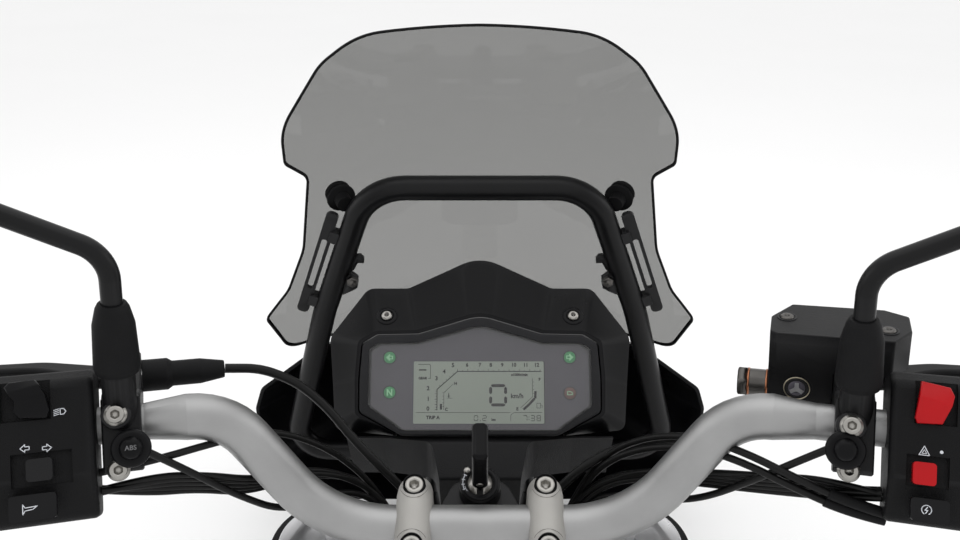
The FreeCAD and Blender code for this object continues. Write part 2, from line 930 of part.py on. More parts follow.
def make_grip(side, start):
    inner = size.bar_end_radius + size.seat_gap
    return turned(f"grip_{side_name(side)}", control_frame(side, start), [
        (inner, 0),
        (size.grip_flange_radius, 0, size.edge_break),
        (size.grip_flange_radius, size.grip_flange_width, size.edge_break),
        (size.grip_radius, size.grip_flange_width * 2, size.grip_flange_width),
        (size.grip_radius, size.grip_length, size.edge_break),
        (inner, size.grip_length),
    ])


# Switch housings


SWITCH_SECTION_SHARES = [
    (-1, 0.28, 1), (-0.72, -0.5, 1), (0.55, -0.5, 1), (1, -0.2, 1), (1, 0.42, 1), (0.6, 0.5, 1), (-1, 0.5, 1),
]


def switch_face(side, low, high):
    """Offset and length of a slab between two depths from the bar towards the rider's eyes."""
    return (-high if side == RIGHT else low), high - low


def on_face(side, spot):
    """Corners of a rounded button from shares of the housing's face: out, up, width and height."""
    out, up, wide, tall = spot
    height = size.switch_above + size.switch_below
    middle = (size.switch_above - size.switch_below) / 2
    return rectangle(middle + height * up, size.switch_width * out, height * tall, size.switch_width * wide)


def make_switch_housing(side, place, spots):
    """Two-part shell round the bar with a recess for each control on its face."""
    body = new_body(f"{side_name(side)}_switch_housing", control_frame(side, place, size.sight_angle))
    height = size.switch_above + size.switch_below
    middle = (size.switch_above - size.switch_below) / 2
    outline = []
    for depth, up, rounding in SWITCH_SECTION_SHARES:
        reach = size.switch_front if depth < 0 else size.switch_back
        outline.append((reach * depth * -side, middle + height * up, size.switch_round * rounding))
    padded(body, "XY_Plane", -size.switch_width / 2, size.switch_width, outline)
    fillet(body, size.clamp_edge_round, lambda edge: any(
        lies_at(2, level)(edge) for level in (size.switch_width / 2, -size.switch_width / 2)))
    drilled(body, "XY_Plane", size.switch_width / 2, size.switch_width + size.cut_overrun,
            [(0, 0, size.bar_end_radius + size.seat_gap)])
    offset, depth = switch_face(side, size.switch_back - size.button_recess, size.switch_back)
    for name, spot in spots.items():
        face = size.switch_back * -side
        slot = SLIDER_SLOT_SHARES.get(name, spot)
        recessed(body, "YZ_Plane", face, size.button_recess, on_face(side, slot), forward=side == RIGHT)
    return body


def make_button(label, side, place, spot):
    """A button that fills its recess but for the gap round it, and stands proud of the face."""
    body = new_body(label, control_frame(side, place, size.sight_angle))
    offset, depth = switch_face(
        side, size.switch_back - size.button_recess, size.switch_back + size.button_stand)
    out, up, wide, tall = spot
    height = size.switch_above + size.switch_below
    middle = (size.switch_above - size.switch_below) / 2
    padded(body, "YZ_Plane", offset, depth, rectangle(
        middle + height * up, size.switch_width * out,
        height * tall - size.button_gap * 2, size.switch_width * wide - size.button_gap * 2,
        size.edge_break * 2))
    return body


LEFT_BUTTON_SHARES = {
    "dip_switch": (0.132, 0.315, 0.459, 0.269),
    "indicator_switch": (0.016, -0.14, 0.25, 0.151),
    "horn_button": (0.084, -0.372, 0.436, 0.17),
}
RIGHT_BUTTON_SHARES = {
    "kill_switch": (-0.082, 0.297, 0.388, 0.28),
    "hazard_switch": (-0.175, -0.163, 0.222, 0.151),
    "start_button": (-0.118, -0.39, 0.357, 0.151),
}
SLIDER_SLOT_SHARES = {
    "indicator_switch": (0, -0.136, 0.56, 0.215),
    "hazard_switch": (-0.141, -0.148, 0.39, 0.203),
}


# Perches and levers


PERCH_ARM_SHARES = [(0, 0.32), (0.86, 0.38, 1), (1.22, 0.34, 1), (1.22, -0.2, 1), (0.84, -0.24, 1), (0, -0.3)]


def turned_corners(corners, angle):
    """Corners of an outline turned about the origin by an angle in degrees."""
    across, up = math.cos(math.radians(angle)), math.sin(math.radians(angle))
    return [(x * across - y * up, x * up + y * across) + tuple(rest) for x, y, *rest in corners]


def lever_mouth():
    return size.lever_thickness + size.lever_fork_gap * 2


def add_perch(body, side):
    """Clamp ring with a lug for its bolts square to the rider's eyes, and an arm ahead for the lever."""
    half = size.perch_width / 2
    sketch = new_sketch(body, "XY_Plane", -half)
    draw_circle(sketch, 0, 0, size.perch_radius)
    pad(body, sketch, size.perch_width)
    padded(body, "XY_Plane", -half, size.perch_width, [
        (side * x, y) + tuple(rest) for x, y, *rest in scaled(
            PERCH_ARM_SHARES, size.pivot_ahead, size.pivot_ahead, size.clamp_edge_round)])
    lug = rectangle(
        -side * size.perch_radius / 2, -size.perch_lug_drop, size.perch_radius,
        size.perch_bolt_spacing + size.perch_bolt_radius * 4, size.clamp_edge_round)
    padded(body, "XY_Plane", -half, size.perch_width, turned_corners(lug, -side * size.sight_angle))
    chamfer(body, size.edge_break, lambda edge: any(lies_at(2, level)(edge) for level in (half, -half)))
    drilled(body, "XY_Plane", half, size.perch_width + size.cut_overrun,
            [(0, 0, size.bar_end_radius + size.seat_gap)])
    recessed(body, "XY_Plane", half + size.cut_overrun, size.perch_width + size.cut_overrun * 2, rectangle(
        side * (size.pivot_ahead + size.cut_overrun / 2), size.pivot_above,
        (size.lever_eye_radius + size.edge_break) * 2 + size.cut_overrun, lever_mouth()))


def add_lever_seat(body, side):
    """Clear a round seat for the lever's eye in the fork, then put the pivot through it."""
    top = -(size.pivot_above + lever_mouth() / 2)
    drilled(body, "XZ_Plane", top, lever_mouth(),
            [(side * size.pivot_ahead, 0, size.lever_eye_radius + size.lever_sweep_gap)], forward=True)
    sketch = new_sketch(body, "XZ_Plane", top)
    draw_circle(sketch, side * size.pivot_ahead, 0, size.pivot_radius)
    pad(body, sketch, lever_mouth())


def add_mirror_post(body, side, top):
    """Threaded post that rises from the perch behind the bar."""
    sketch = new_sketch(body, "XZ_Plane", -top)
    draw_circle(sketch, -side * size.mirror_back, 0, size.mirror_post_radius)
    pad(body, sketch, top)
    drilled(body, "XY_Plane", size.perch_width, size.perch_width * 2,
            [(0, 0, size.bar_end_radius + size.seat_gap)])


def make_clutch_perch():
    body = new_body("clutch_perch", control_frame(LEFT, size.left_perch_place))
    add_perch(body, LEFT)
    add_mirror_post(body, LEFT, size.left_mirror_post)
    add_lever_seat(body, LEFT)
    return body


RESERVOIR_SHARES = [
    (-1, -0.9), (-0.86, -1), (0.1, -1), (1, -0.7), (1, 0.66), (0.64, 1), (-0.3, 1), (-1, 0.74),
]


def reservoir_outline():
    """Eight-sided outline of the fluid chamber, ahead of the perch and a little inboard."""
    corners = scaled([share + (1,) for share in RESERVOIR_SHARES], size.reservoir_width / 2,
                     size.reservoir_length / 2, size.reservoir_round)
    return [(size.reservoir_ahead + x, z - size.reservoir_shift, bend) for x, z, bend in corners]


def make_brake_perch():
    """Perch with the master cylinder inboard of the lever and its fluid chamber over it."""
    body = new_body("brake_perch", control_frame(RIGHT, size.right_perch_place))
    add_perch(body, RIGHT)
    inboard = -(size.reservoir_shift + size.reservoir_length / 2)
    sketch = new_sketch(body, "XY_Plane", inboard)
    draw_circle(sketch, size.cylinder_ahead, size.cylinder_above, size.cylinder_radius)
    pad(body, sketch, -inboard - size.perch_width / 2)
    padded(body, "XZ_Plane", -size.reservoir_top, size.reservoir_height, reservoir_outline())
    ends = inboard, -size.perch_width / 2
    padded(body, "XZ_Plane", -size.reservoir_top + size.reservoir_height,
           size.reservoir_top - size.reservoir_height - size.cylinder_above + size.cylinder_radius, rectangle(
        size.cylinder_ahead, sum(ends) / 2, size.cylinder_radius * 2, ends[1] - ends[0], size.edge_break))
    add_mirror_post(body, RIGHT, size.right_mirror_post)
    drilled(body, "XY_Plane", inboard, size.cylinder_radius,
            [(size.cylinder_ahead, size.cylinder_above, size.banjo_bolt_radius + size.seat_gap)],
            forward=True)
    add_lever_seat(body, RIGHT)
    return body


def make_reservoir_cap():
    body = new_body("reservoir_cap", control_frame(RIGHT, size.right_perch_place))
    padded(body, "XZ_Plane", -(size.reservoir_top + size.reservoir_cap), size.reservoir_cap,
           reservoir_outline())
    fillet(body, size.edge_break, lies_at(1, size.reservoir_top + size.reservoir_cap))
    return body


def make_brake_banjo():
    """Banjo bolt in the inboard end of the master cylinder, with the hose's eye under its head."""
    inboard = size.reservoir_shift + size.reservoir_length / 2
    frame = control_frame(RIGHT, size.right_perch_place) * Placement(
        Vector(size.cylinder_ahead, size.cylinder_above, -inboard), Rotation(Vector(0, 1, 0), 180))
    washer, eye = size.banjo_washer, size.banjo_eye_width
    head = size.banjo_head_radius
    return turned("brake_banjo", frame, [
        (0, -size.cylinder_radius / 2),
        (size.banjo_bolt_radius, -size.cylinder_radius / 2),
        (size.banjo_bolt_radius, 0),
        (head, 0),
        (head, washer),
        (size.banjo_eye_radius, washer),
        (size.banjo_eye_radius, washer + eye),
        (head, washer + eye),
        (head, washer * 2 + eye),
        (head - size.edge_break, washer * 2 + eye),
        (head - size.edge_break, washer * 2 + eye + size.banjo_head),
        (0, washer * 2 + eye + size.banjo_head),
    ])


LEVER_FRONT_SHARES = [
    (1, -0.045, 0.8), (1.05, 0.06, 3), (2.2, 0.25, 5), (2.5, 0.55, 12), (2.3, 0.84, 8), (1.9, 1, 0.4),
]
LEVER_BACK_SHARES = [
    (0.9, 1, 0.4), (1.3, 0.84, 8), (1.6, 0.55, 12), (1.2, 0.27, 5), (-0.5, 0.11, 2),
    (-1, -0.048, 0.8),
]


def make_lever(label, side, place):
    """Cast lever: an eye on the pivot and a gently curved blade with a rounded tip."""
    frame = control_frame(side, place) * Placement(
        Vector(side * size.pivot_ahead, size.pivot_above, 0), UPRIGHT)
    body = new_body(label, frame)
    outline = scaled(LEVER_FRONT_SHARES + LEVER_BACK_SHARES, size.lever_eye_radius, size.lever_reach,
                     size.lever_bend_round)
    padded(body, "XZ_Plane", -size.lever_thickness / 2, size.lever_thickness,
           [(side * corner[0],) + tuple(corner[1:]) for corner in outline])
    fillet(body, size.lever_thickness / 3, lambda edge: any(
        lies_at(1, level)(edge) for level in (size.lever_thickness / 2, -size.lever_thickness / 2)))
    drilled(body, "XZ_Plane", size.lever_thickness, size.lever_thickness * 2,
            [(0, 0, size.pivot_radius + size.running_gap)])
    return body


CLUTCH_BOOT_SHARES = [(1, 0.3), (0.8, 0.36), (0.8, 0.7), (0.55, 1)]


def make_clutch_boot():
    """Rubber sleeve over the clutch cable's adjuster, ahead of the bar."""
    start = size.perch_width / 2 + size.seat_gap
    frame = control_frame(LEFT, size.left_perch_place) * Placement(
        Vector(LEFT * size.pivot_ahead, size.pivot_above, -start), Rotation(Vector(0, 1, 0), 180))
    long, wide = size.clutch_boot_length, size.clutch_boot_radius
    return turned("clutch_boot", frame, [(0, 0), (wide, 0)] + [
        (wide * across, long * along, size.edge_break) for across, along in CLUTCH_BOOT_SHARES
    ] + [(0, long)])


def make_perch_button(label, side, place):
    """Round push button on a small sleeve behind the clamp bolts."""
    frame = control_frame(side, place, size.sight_angle) * Placement(
        Vector(-side * (size.perch_radius + size.perch_button_seat), -size.perch_button_drop,
               -size.perch_button_inboard),
        Rotation(Vector(0, 1, 0), -side * 90))
    return turned(label, frame, [
        (0, 0), (size.perch_button_radius, 0),
        (size.perch_button_radius, size.perch_button_step, size.edge_break),
        (size.perch_cap_radius, size.perch_button_step),
        (size.perch_cap_face, size.perch_button_height, size.edge_break),
        (0, size.perch_button_height),
    ])


# Mirrors


def mirror_frame(side):
    """Frame on the mirror post: Z up the post, X forwards on the right side, Y inboard."""
    place = size.right_perch_place if side == RIGHT else size.left_perch_place
    return control_frame(side, place) * Placement(
        Vector(-side * size.mirror_back, 0, 0), Rotation(Vector(1, 0, 0), -90))


def mirror_foot(side):
    return size.right_mirror_post if side == RIGHT else size.left_mirror_post


ELBOW_DROP_SHARE = 1 / 6
ELBOW_BEND_SHARE = 0.4


def mirror_ball(side):
    lift = mirror_foot(side) + size.mirror_ball_lift
    return Vector(side * size.mirror_ball_ahead, -size.mirror_ball_out, lift)


def make_mirror_stem(side):
    foot = mirror_foot(side) + size.running_gap
    ball = mirror_ball(side)
    elbow = ball + Vector(side * size.mirror_elbow, size.mirror_elbow * ELBOW_DROP_SHARE, 0)
    points = [Vector(0, 0, foot), Vector(0, 0, foot + size.mirror_bend_height), elbow, ball]
    rod = tube(f"mirror_rod_{side_name(side)}", points,
               [size.mirror_bend_radius, size.mirror_elbow * ELBOW_BEND_SHARE], size.mirror_stem_radius)
    knob = doc.addObject("Part::Sphere", f"mirror_ball_{side_name(side)}")
    knob.setExpression("Radius", text_of(size.mirror_ball))
    knob.Placement = Placement(ball, Rotation(Vector(0, 0, 1), 90))
    stem = fused(f"mirror_stem_{side_name(side)}", [rod, knob])
    stem.Placement = mirror_frame(side)
    return stem


def make_mirror_boot(side):
    inner = size.mirror_stem_radius + size.seat_gap
    height = size.mirror_boot_height
    frame = mirror_frame(side) * Placement(Vector(0, 0, mirror_foot(side) + size.running_gap), UPRIGHT)
    return turned(f"mirror_boot_{side_name(side)}", frame, [(inner, 0)] + [
        (size.mirror_boot_wide * wide, height * up, size.mirror_boot_narrow * bend)
        for wide, up, bend in MIRROR_BOOT_SHARES
    ] + [(size.mirror_boot_narrow, height, size.edge_break), (inner, height)])


MIRROR_BOOT_SHARES = [(0.94, 0, 0.1), (1, 0.08, 0.1), (0.9, 0.7, 1.2), (0.72, 0.93, 0.6)]
MIRROR_HEAD_SHARES = [
    (0.5, 0.28, 1), (0.36, 0.5, 1), (-0.36, 0.46, 1), (-0.5, 0.1, 1), (-0.42, -0.46, 1), (0.34, -0.5, 1),
]


def head_frame(side):
    """Frame of a mirror head at its ball: X outwards to the right, Y up and Z to the rider."""
    ball = mirror_frame(side).multVec(mirror_ball(side))
    yaw = Rotation(Vector(0, 0, 1), -side * size.mirror_yaw)
    return Placement(ball, yaw * Rotation(Vector(1, 0, 0), 90 - size.mirror_tilt))


def head_outline(side, inset):
    wide = size.mirror_head_width - inset * 2
    tall = size.mirror_head_height - inset * 2
    shift = side * size.mirror_head_shift
    return [(shift + side * corner[0], size.mirror_head_rise + corner[1], corner[2]) for corner in scaled(
        MIRROR_HEAD_SHARES, wide, tall, size.mirror_head_round - inset)]


def make_mirror_head(side):
    """Bowl-backed housing with a socket for the ball and a recess for the glass."""
    body = new_body(f"mirror_head_{side_name(side)}", head_frame(side))
    back = size.mirror_ball + size.mirror_wall
    padded(body, "XY_Plane", back, size.mirror_head_depth, head_outline(side, 0))
    fillet(body, size.mirror_head_depth / 2, lies_at(2, back))
    sketch = new_sketch(body, "XY_Plane", -size.mirror_lip)
    draw_circle(sketch, 0, 0, size.mirror_ball + size.mirror_wall)
    pad(body, sketch, back + size.mirror_lip + size.mirror_wall)
    recessed(body, "XY_Plane", back + size.mirror_head_depth, size.mirror_glass + size.edge_break,
             head_outline(side, size.mirror_wall))
    socket = size.mirror_ball + size.running_gap
    spin_socket(body, socket)
    return body


def spin_socket(body, radius):
    """Cut a ball socket open to the back: half a ball with a straight throat."""
    sketch = new_sketch(body, "XZ_Plane")
    throat = size.mirror_lip + size.cut_overrun
    arc = sketch.addGeometry(Part.ArcOfCircle(
        Part.Circle(Vector(), Vector(0, 0, 1), float(radius)), 0, math.pi / 2))
    lines = [
        sketch.addGeometry(Part.LineSegment(Vector(0, radius, 0), Vector(0, -throat, 0))),
        sketch.addGeometry(Part.LineSegment(Vector(0, -throat, 0), Vector(radius, -throat, 0))),
        sketch.addGeometry(Part.LineSegment(Vector(radius, -throat, 0), Vector(radius, 0, 0))),
    ]
    rules = joined(arc, 2, lines[0], 1) + joined(lines[0], 2, lines[1], 1)
    rules += joined(lines[1], 2, lines[2], 1) + joined(lines[2], 2, arc, 1)
    rules += point_at(arc, 3, 0, 0) + radius_of(arc, radius)
    rules += point_at(lines[1], 1, 0, -throat) + point_at(lines[2], 1, radius, -throat)
    rules.append((Sketcher.Constraint("PointOnObject", arc, 1, -1), None))
    rules.append((Sketcher.Constraint("PointOnObject", arc, 2, -2), None))
    hold(sketch, rules)
    groove = body.newObject("PartDesign::Groove", "Socket")
    groove.Profile = sketch
    groove.ReferenceAxis = (sketch, ["V_Axis"])
    groove.Angle = 360


def make_mirror_glass(side):
    body = new_body(f"mirror_glass_{side_name(side)}", head_frame(side))
    front = size.mirror_ball + size.mirror_wall + size.mirror_head_depth - size.edge_break
    padded(body, "XY_Plane", front - size.mirror_glass, size.mirror_glass,
           head_outline(side, size.mirror_wall + size.seat_gap))
    return body


# Ignition lock and key


def make_ignition_lock():
    """Barrel through the yoke's lug, with a bevelled ring and a slotted disc on top."""
    top = size.lock_length
    body = turned("ignition_lock", yoke_frame(0, size.lock_ahead, size.lock_face - size.lock_length), [
        (0, 0), (size.lock_neck_radius, 0), (size.lock_neck_radius, size.lock_neck_length),
        (size.lock_radius, size.lock_shoulder), (size.lock_radius, top, size.edge_break * 2),
        (size.lock_disc_radius, top), (size.lock_disc_radius, top - size.edge_break),
        (0, top - size.edge_break),
    ])
    recessed(body, "XY_Plane", top, size.key_depth, rectangle(
        0, 0, size.key_blade_thickness + size.running_gap * 2, size.key_blade_width + size.running_gap * 2))
    return body


def make_ignition_key():
    """Folding key stood in the lock, its bow edge on to the rider."""
    body = new_body("ignition_key", yoke_frame(0, size.lock_ahead, size.lock_face))
    padded(body, "XY_Plane", size.running_gap - size.key_depth,
           size.key_height - size.key_bow_height + size.key_depth,
           rectangle(0, 0, size.key_blade_thickness, size.key_blade_width))
    padded(body, "XY_Plane", size.key_height - size.key_bow_height, size.key_bow_height, rectangle(
        0, 0, size.key_bow_width, size.key_bow_depth, size.key_bow_width / 3))
    fillet(body, size.clamp_edge_round, lies_at(2, size.key_height))
    return body


# Instrument, cowl and lock cover


FOOT_SHARE = 0.56
BEZEL_SHARES = [
    (0, 1, 3), (0.513, 0.758, 0.4), (0.857, 0.747, 0.5), (0.981, 0.63, 0.5), (1, 0.18, 3),
    (0.996, -0.263, 0.5), (0.641, -FOOT_SHARE, 0.8), (0, -FOOT_SHARE),
]
LENS_SHARES = [
    (0, 1, 3), (0.57, 0.728, 0.4), (0.92, 0.72, 0.5), (1, 0.63, 0.4), (1, -0.2, 0.4),
    (0.69, -FOOT_SHARE, 0.8), (0, -FOOT_SHARE),
]
COWL_SHARES = [
    (0, 1.87, 3), (0.62, 1.42, 0.8), (0.967, 1.42, 0.9), (1.285, 0.755, 0.9), (1.25, 0.13, 3),
    (1.22, -0.48, 0.6), (0.68, -FOOT_SHARE, 0.3), (0, -FOOT_SHARE),
]
OPENING_SHARES = [
    (0, 1, 3), (0.513, 0.758, 0.4), (0.857, 0.747, 0.5), (0.981, 0.63, 0.5), (1, 0.18, 3),
    (0.996, -0.263, 0.5), (0.72, -0.5), (0.72, -0.8), (0, -0.8),
]
LIP_SHARES = [
    (0, 1.06, 3), (0.54, 0.81, 0.4), (0.877, 0.8, 0.5), (1.02, 0.67, 0.5), (1.04, 0.18, 3),
    (1.03, -0.3, 0.5), (0.65, -0.54, 0.3), (0, -0.54),
]


def instrument_outline(shares, inset=0):
    """A whole outline in shares of the instrument's half width and of its rise."""
    return mirrored(scaled(shares, size.instrument_half_width - inset,
                           size.instrument_rise - inset, size.instrument_round))


def lens_outline(inset=0):
    return mirrored(scaled(LENS_SHARES, size.instrument_half_width - size.lens_border - inset,
                           size.instrument_rise - size.lens_border - inset, size.instrument_round))


def make_instrument_housing():
    """Housing with a raised bezel, a stepped recess for the glass and a rim round the display."""
    body = new_body("instrument_housing", INSTRUMENT)
    padded(body, "XY_Plane", -size.instrument_depth, size.instrument_depth, instrument_outline(BEZEL_SHARES))
    fillet(body, size.bezel_round, lies_at(2, 0))
    recessed(body, "XY_Plane", 0, size.lens_depth, lens_outline())
    recessed(body, "XY_Plane", -size.lens_depth, size.dial_depth - size.lens_depth,
             lens_outline(size.lcd_rim))
    padded(body, "XY_Plane", -size.dial_depth, size.lcd_rim, rectangle(
        0, 0, size.lcd_width, size.lcd_height, size.edge_break))
    recessed(body, "XY_Plane", size.lcd_rim - size.dial_depth, size.lcd_rim / 2, rectangle(
        0, 0, size.lcd_width - size.lcd_rim * 2, size.lcd_height - size.lcd_rim * 2))
    return body


def make_instrument_lens():
    body = new_body("instrument_lens", INSTRUMENT)
    padded(body, "XY_Plane", -size.lens_depth, size.lens_depth - size.edge_break, lens_outline(size.seat_gap))
    return body


def loft(body, kind, sketches):
    feature = body.newObject(kind, "Loft")
    feature.Profile = sketches[0]
    feature.Sections = sketches[1:]
    feature.Ruled = True
    return feature


def outline_at(body, level, corners, role="XY_Plane"):
    sketch = new_sketch(body, role, level)
    draw_outline(sketch, corners)
    return sketch


def make_instrument_cowl():
    """Peaked shell that falls away from the instrument's bezel and ends in a skirt."""
    body = new_body("instrument_cowl", INSTRUMENT)
    fall, wall = -size.cowl_fall, size.cowl_wall
    loft(body, "PartDesign::AdditiveLoft", [
        outline_at(body, fall, instrument_outline(COWL_SHARES)),
        outline_at(body, -size.cowl_gap, instrument_outline(LIP_SHARES)),
    ])
    padded(body, "XY_Plane", fall - size.cowl_skirt, size.cowl_skirt, instrument_outline(COWL_SHARES))
    recessed(body, "XY_Plane", fall - size.cowl_skirt, size.cowl_skirt - wall,
             instrument_outline(COWL_SHARES, wall), forward=True)
    loft(body, "PartDesign::SubtractiveLoft", [
        outline_at(body, fall - wall, instrument_outline(COWL_SHARES, wall)),
        outline_at(body, -size.cowl_gap - wall, instrument_outline(LIP_SHARES, wall / 2)),
    ])
    recessed(body, "XY_Plane", size.cut_overrun, size.cowl_fall + size.cowl_skirt + size.cut_overrun * 2,
             instrument_outline(OPENING_SHARES, -size.cowl_gap))
    return body


COVER_REAR_SHARES = [(0.64, 0), (0.64, 0.85, 1), (0.82, 1, 1)]
COVER_FRONT_SHARES = [(0.99, 0.3), (0.99, 0)]
COVER_NOSE_SHARES = [(0.3, 0.3), (0.3, 0.64), (0.36, 0.825, 3), (0.7, 0.86, 3), (1.2, 0.86), (1.2, 0.3)]


def under_instrument(depth):
    """Spot in the yoke's frame just below the instrument's underside, at a depth behind its face."""
    foot = size.instrument_rise * FOOT_SHARE + size.seat_gap
    spot = YOKE.inverse().multVec(INSTRUMENT.multVec(Vector(0, -foot, -depth)))
    return spot.y, spot.z


def make_lock_cover():
    """Panel below the instrument: a nose round the lock, with hollows that clear the turning yoke."""
    body = new_body("lock_cover", YOKE)
    half = size.cover_half_width
    rear, front = [
        [(y, size.cover_bottom + z) + tuple(rest) for y, z, *rest in scaled(
            shares, size.cover_back, size.cover_height, size.clamp_edge_round)]
        for shares in (COVER_REAR_SHARES, COVER_FRONT_SHARES)]
    section = rear + [under_instrument(size.cover_lap), under_instrument(size.instrument_depth)] + front
    padded(body, "YZ_Plane", -half, half * 2, section)
    top = size.cover_bottom + size.cover_height + size.cut_overrun
    deep = size.cover_height + size.cut_overrun * 2
    nose = scaled(COVER_NOSE_SHARES, half, size.cover_back, size.clamp_edge_round)
    for side in (RIGHT, LEFT):
        recessed(body, "XY_Plane", top, deep, [(side * x, y) + tuple(rest) for x, y, *rest in nose])
    hollow = scaled(COVER_HOLLOW_SHARES, half, size.cover_back, size.clamp_edge_round)
    recessed(body, "XY_Plane", size.cover_bottom, size.cover_hollow, mirrored(hollow), forward=True)
    return body


COVER_HOLLOW_SHARES = [(0, 0.96), (0.95, 0.96), (0.95, 0.885), (0.32, 0.855, 1), (0.25, 0.665, 1), (0, 0.665)]


# Hoop, windscreen and the stay that carries them


HOOP_SHARES = [(0.5, 1), (0.745, 0.562), (0.918, 0.145), (1, -0.05)]


def hoop_corner(side, index):
    across, rise = HOOP_SHARES[index]
    return Vector(side * size.hoop_half_width * across, size.hoop_height * rise, 0)


def make_screen_hoop():
    """Closed tube hoop, bent in two halves, whose sill carries it on the stay."""
    bends = [size.hoop_bend, size.hoop_leg_bend, size.hoop_leg_bend, size.hoop_sill_bend]
    halves = []
    for side in (RIGHT, LEFT):
        points = [Vector(0, size.hoop_height, 0)]
        points += [hoop_corner(side, index) for index in range(len(HOOP_SHARES))]
        points.append(Vector(0, points[-1].y, 0))
        halves.append(tube(f"hoop_{side_name(side)}", points, bends, size.hoop_radius))
    hoop = fused("screen_hoop", halves)
    hoop.Placement = HOOP * Placement(Vector(), Rotation(Vector(1, 0, 0), 90))
    return hoop


SCREEN_OUTLINE_SHARES = [
    (0, 1, 9), (0.5, 0.995, 4), (0.655, 0.93, 2.5), (0.83, 0.765, 3), (0.835, 0.655, 0.5),
    (0.755, 0.59, 0.8), (0.815, 0.34, 3), (0.9, 0.21, 1.5), (1.005, 0.14, 0.5), (0.94, -0.02, 1),
    (0.5, -0.075, 3), (0, -0.075),
]


SCREEN_SPARE_SHARE = 0.2


def make_windscreen():
    """Smoked sheet bent to one cylinder and cut to its outline."""
    radius, sheet = size.screen_radius, size.screen_sheet
    shells = []
    foot = -size.screen_height * SCREEN_SPARE_SHARE
    for label, amount in (("screen_outside", radius), ("screen_inside", radius - sheet)):
        shell = doc.addObject("Part::Cylinder", label)
        shell.setExpression("Radius", text_of(amount))
        shell.setExpression("Height", text_of(size.screen_height * (1 + 2 * SCREEN_SPARE_SHARE)))
        shell.setExpression("Angle", text_of(size.screen_sector))
        shell.Placement = Placement(Vector(0, -radius, foot), Rotation(
            Vector(0, 0, 1), 90 - size.screen_sector / 2))
        shells.append(shell)
    bent = cut_away("screen_sheet", shells[0], shells[1])
    plan = new_body("screen_plan", Placement())
    sketch = new_sketch(plan, "XZ_Plane", -size.cut_overrun)
    draw_outline(sketch, mirrored(scaled(
        SCREEN_OUTLINE_SHARES, size.screen_half_width, size.screen_height, size.screen_round)))
    pad(plan, sketch, radius)
    screen = doc.addObject("Part::Common", "windscreen")
    screen.Base = bent
    screen.Tool = plan
    screen.Label = "windscreen"
    screen.Placement = SCREEN
    return screen


def make_cockpit_stay():
    """Saddle on the head tube, two tubes to the hoop's sill, posts to the instrument and lamp arms."""
    pieces = []
    saddle = doc.addObject("Part::Box", "stay_saddle")
    saddle.setExpression("Length", text_of(size.stay_saddle_width))
    saddle.setExpression("Width", text_of(size.head_band_radius + size.stay_saddle_depth / 2))
    saddle.setExpression("Height", text_of(size.stay_radius * 2))
    saddle.Placement = yoke_frame(-size.stay_saddle_width / 2, 0, size.stay_height - size.stay_radius)
    bore = doc.addObject("Part::Cylinder", "stay_bore")
    bore.setExpression("Radius", text_of(size.head_band_radius + size.seat_gap))
    bore.setExpression("Height", text_of(size.stay_radius * 4))
    bore.Placement = yoke_frame(0, 0, size.stay_height - size.stay_radius * 2)
    pieces.append(cut_away("stay_clamp", saddle, bore))
    sill = HOOP.multVec(Vector(0, 0, size.hoop_height * HOOP_SHARES[-1][1]))
    for side in (RIGHT, LEFT):
        name = side_name(side)
        start = YOKE.multVec(Vector(
            side * size.stay_half_spacing, size.head_band_radius, size.stay_height))
        end = sill + Vector(side * size.stay_half_spread, 0, 0)
        pieces.append(straight_tube(f"stay_arm_{name}", start, end, size.stay_radius))
        lamp_back = size.mask_back + size.mask_length - size.light_depth - size.seat_gap
        pieces.append(straight_tube(
            f"stay_lamp_{name}", end, Vector(end.x, lamp_back, end.z), size.post_radius))
        reach = size.hoop_radius + size.stay_radius
        cradle = doc.addObject("Part::Box", f"stay_cradle_{name}")
        cradle.setExpression("Length", text_of(size.stay_radius * 2))
        cradle.setExpression("Width", text_of(reach * 2))
        cradle.setExpression("Height", text_of(reach))
        cradle.Placement = Placement(end - Vector(size.stay_radius, reach, reach), UPRIGHT)
        pieces.append(cradle)
        back = INSTRUMENT.multVec(Vector(
            side * size.post_spread, 0, -size.instrument_depth - size.seat_gap))
        lean = INSTRUMENT.Rotation.multVec(Vector(0, 0, -size.post_run))
        share = size.post_place
        on_arm = start + (end - start) * float(share)
        knee = back + lean
        pieces.append(tube(f"stay_post_{name}", [on_arm, knee, back], [size.post_bend], size.post_radius))
    groove = straight_tube(
        "stay_groove", sill - Vector(size.stay_half_spread * 2, 0, 0),
        sill + Vector(size.stay_half_spread * 2, 0, 0), size.hoop_radius + size.seat_gap)
    return cut_away("cockpit_stay", fused("stay_tubes", pieces), groove)


# Screen adjusters


def leg_frame(side):
    """Frame on the hoop's upper leg: X outwards to the right, Y up the leg and Z behind the screen."""
    corner = hoop_corner(side, 0)
    low = hoop_corner(side, 1)
    top = corner + (low - corner) * SLIDE_START_SHARE
    run = top - low
    lean = math.degrees(math.atan2(run.x, run.y))
    turn = Rotation(Vector(0, 0, 1), -lean)
    facing = HOOP * Placement(Vector(), Rotation(Vector(1, 0, 0), 90))
    return facing * Placement(top, turn)


SLIDE_START_SHARE = 0.3


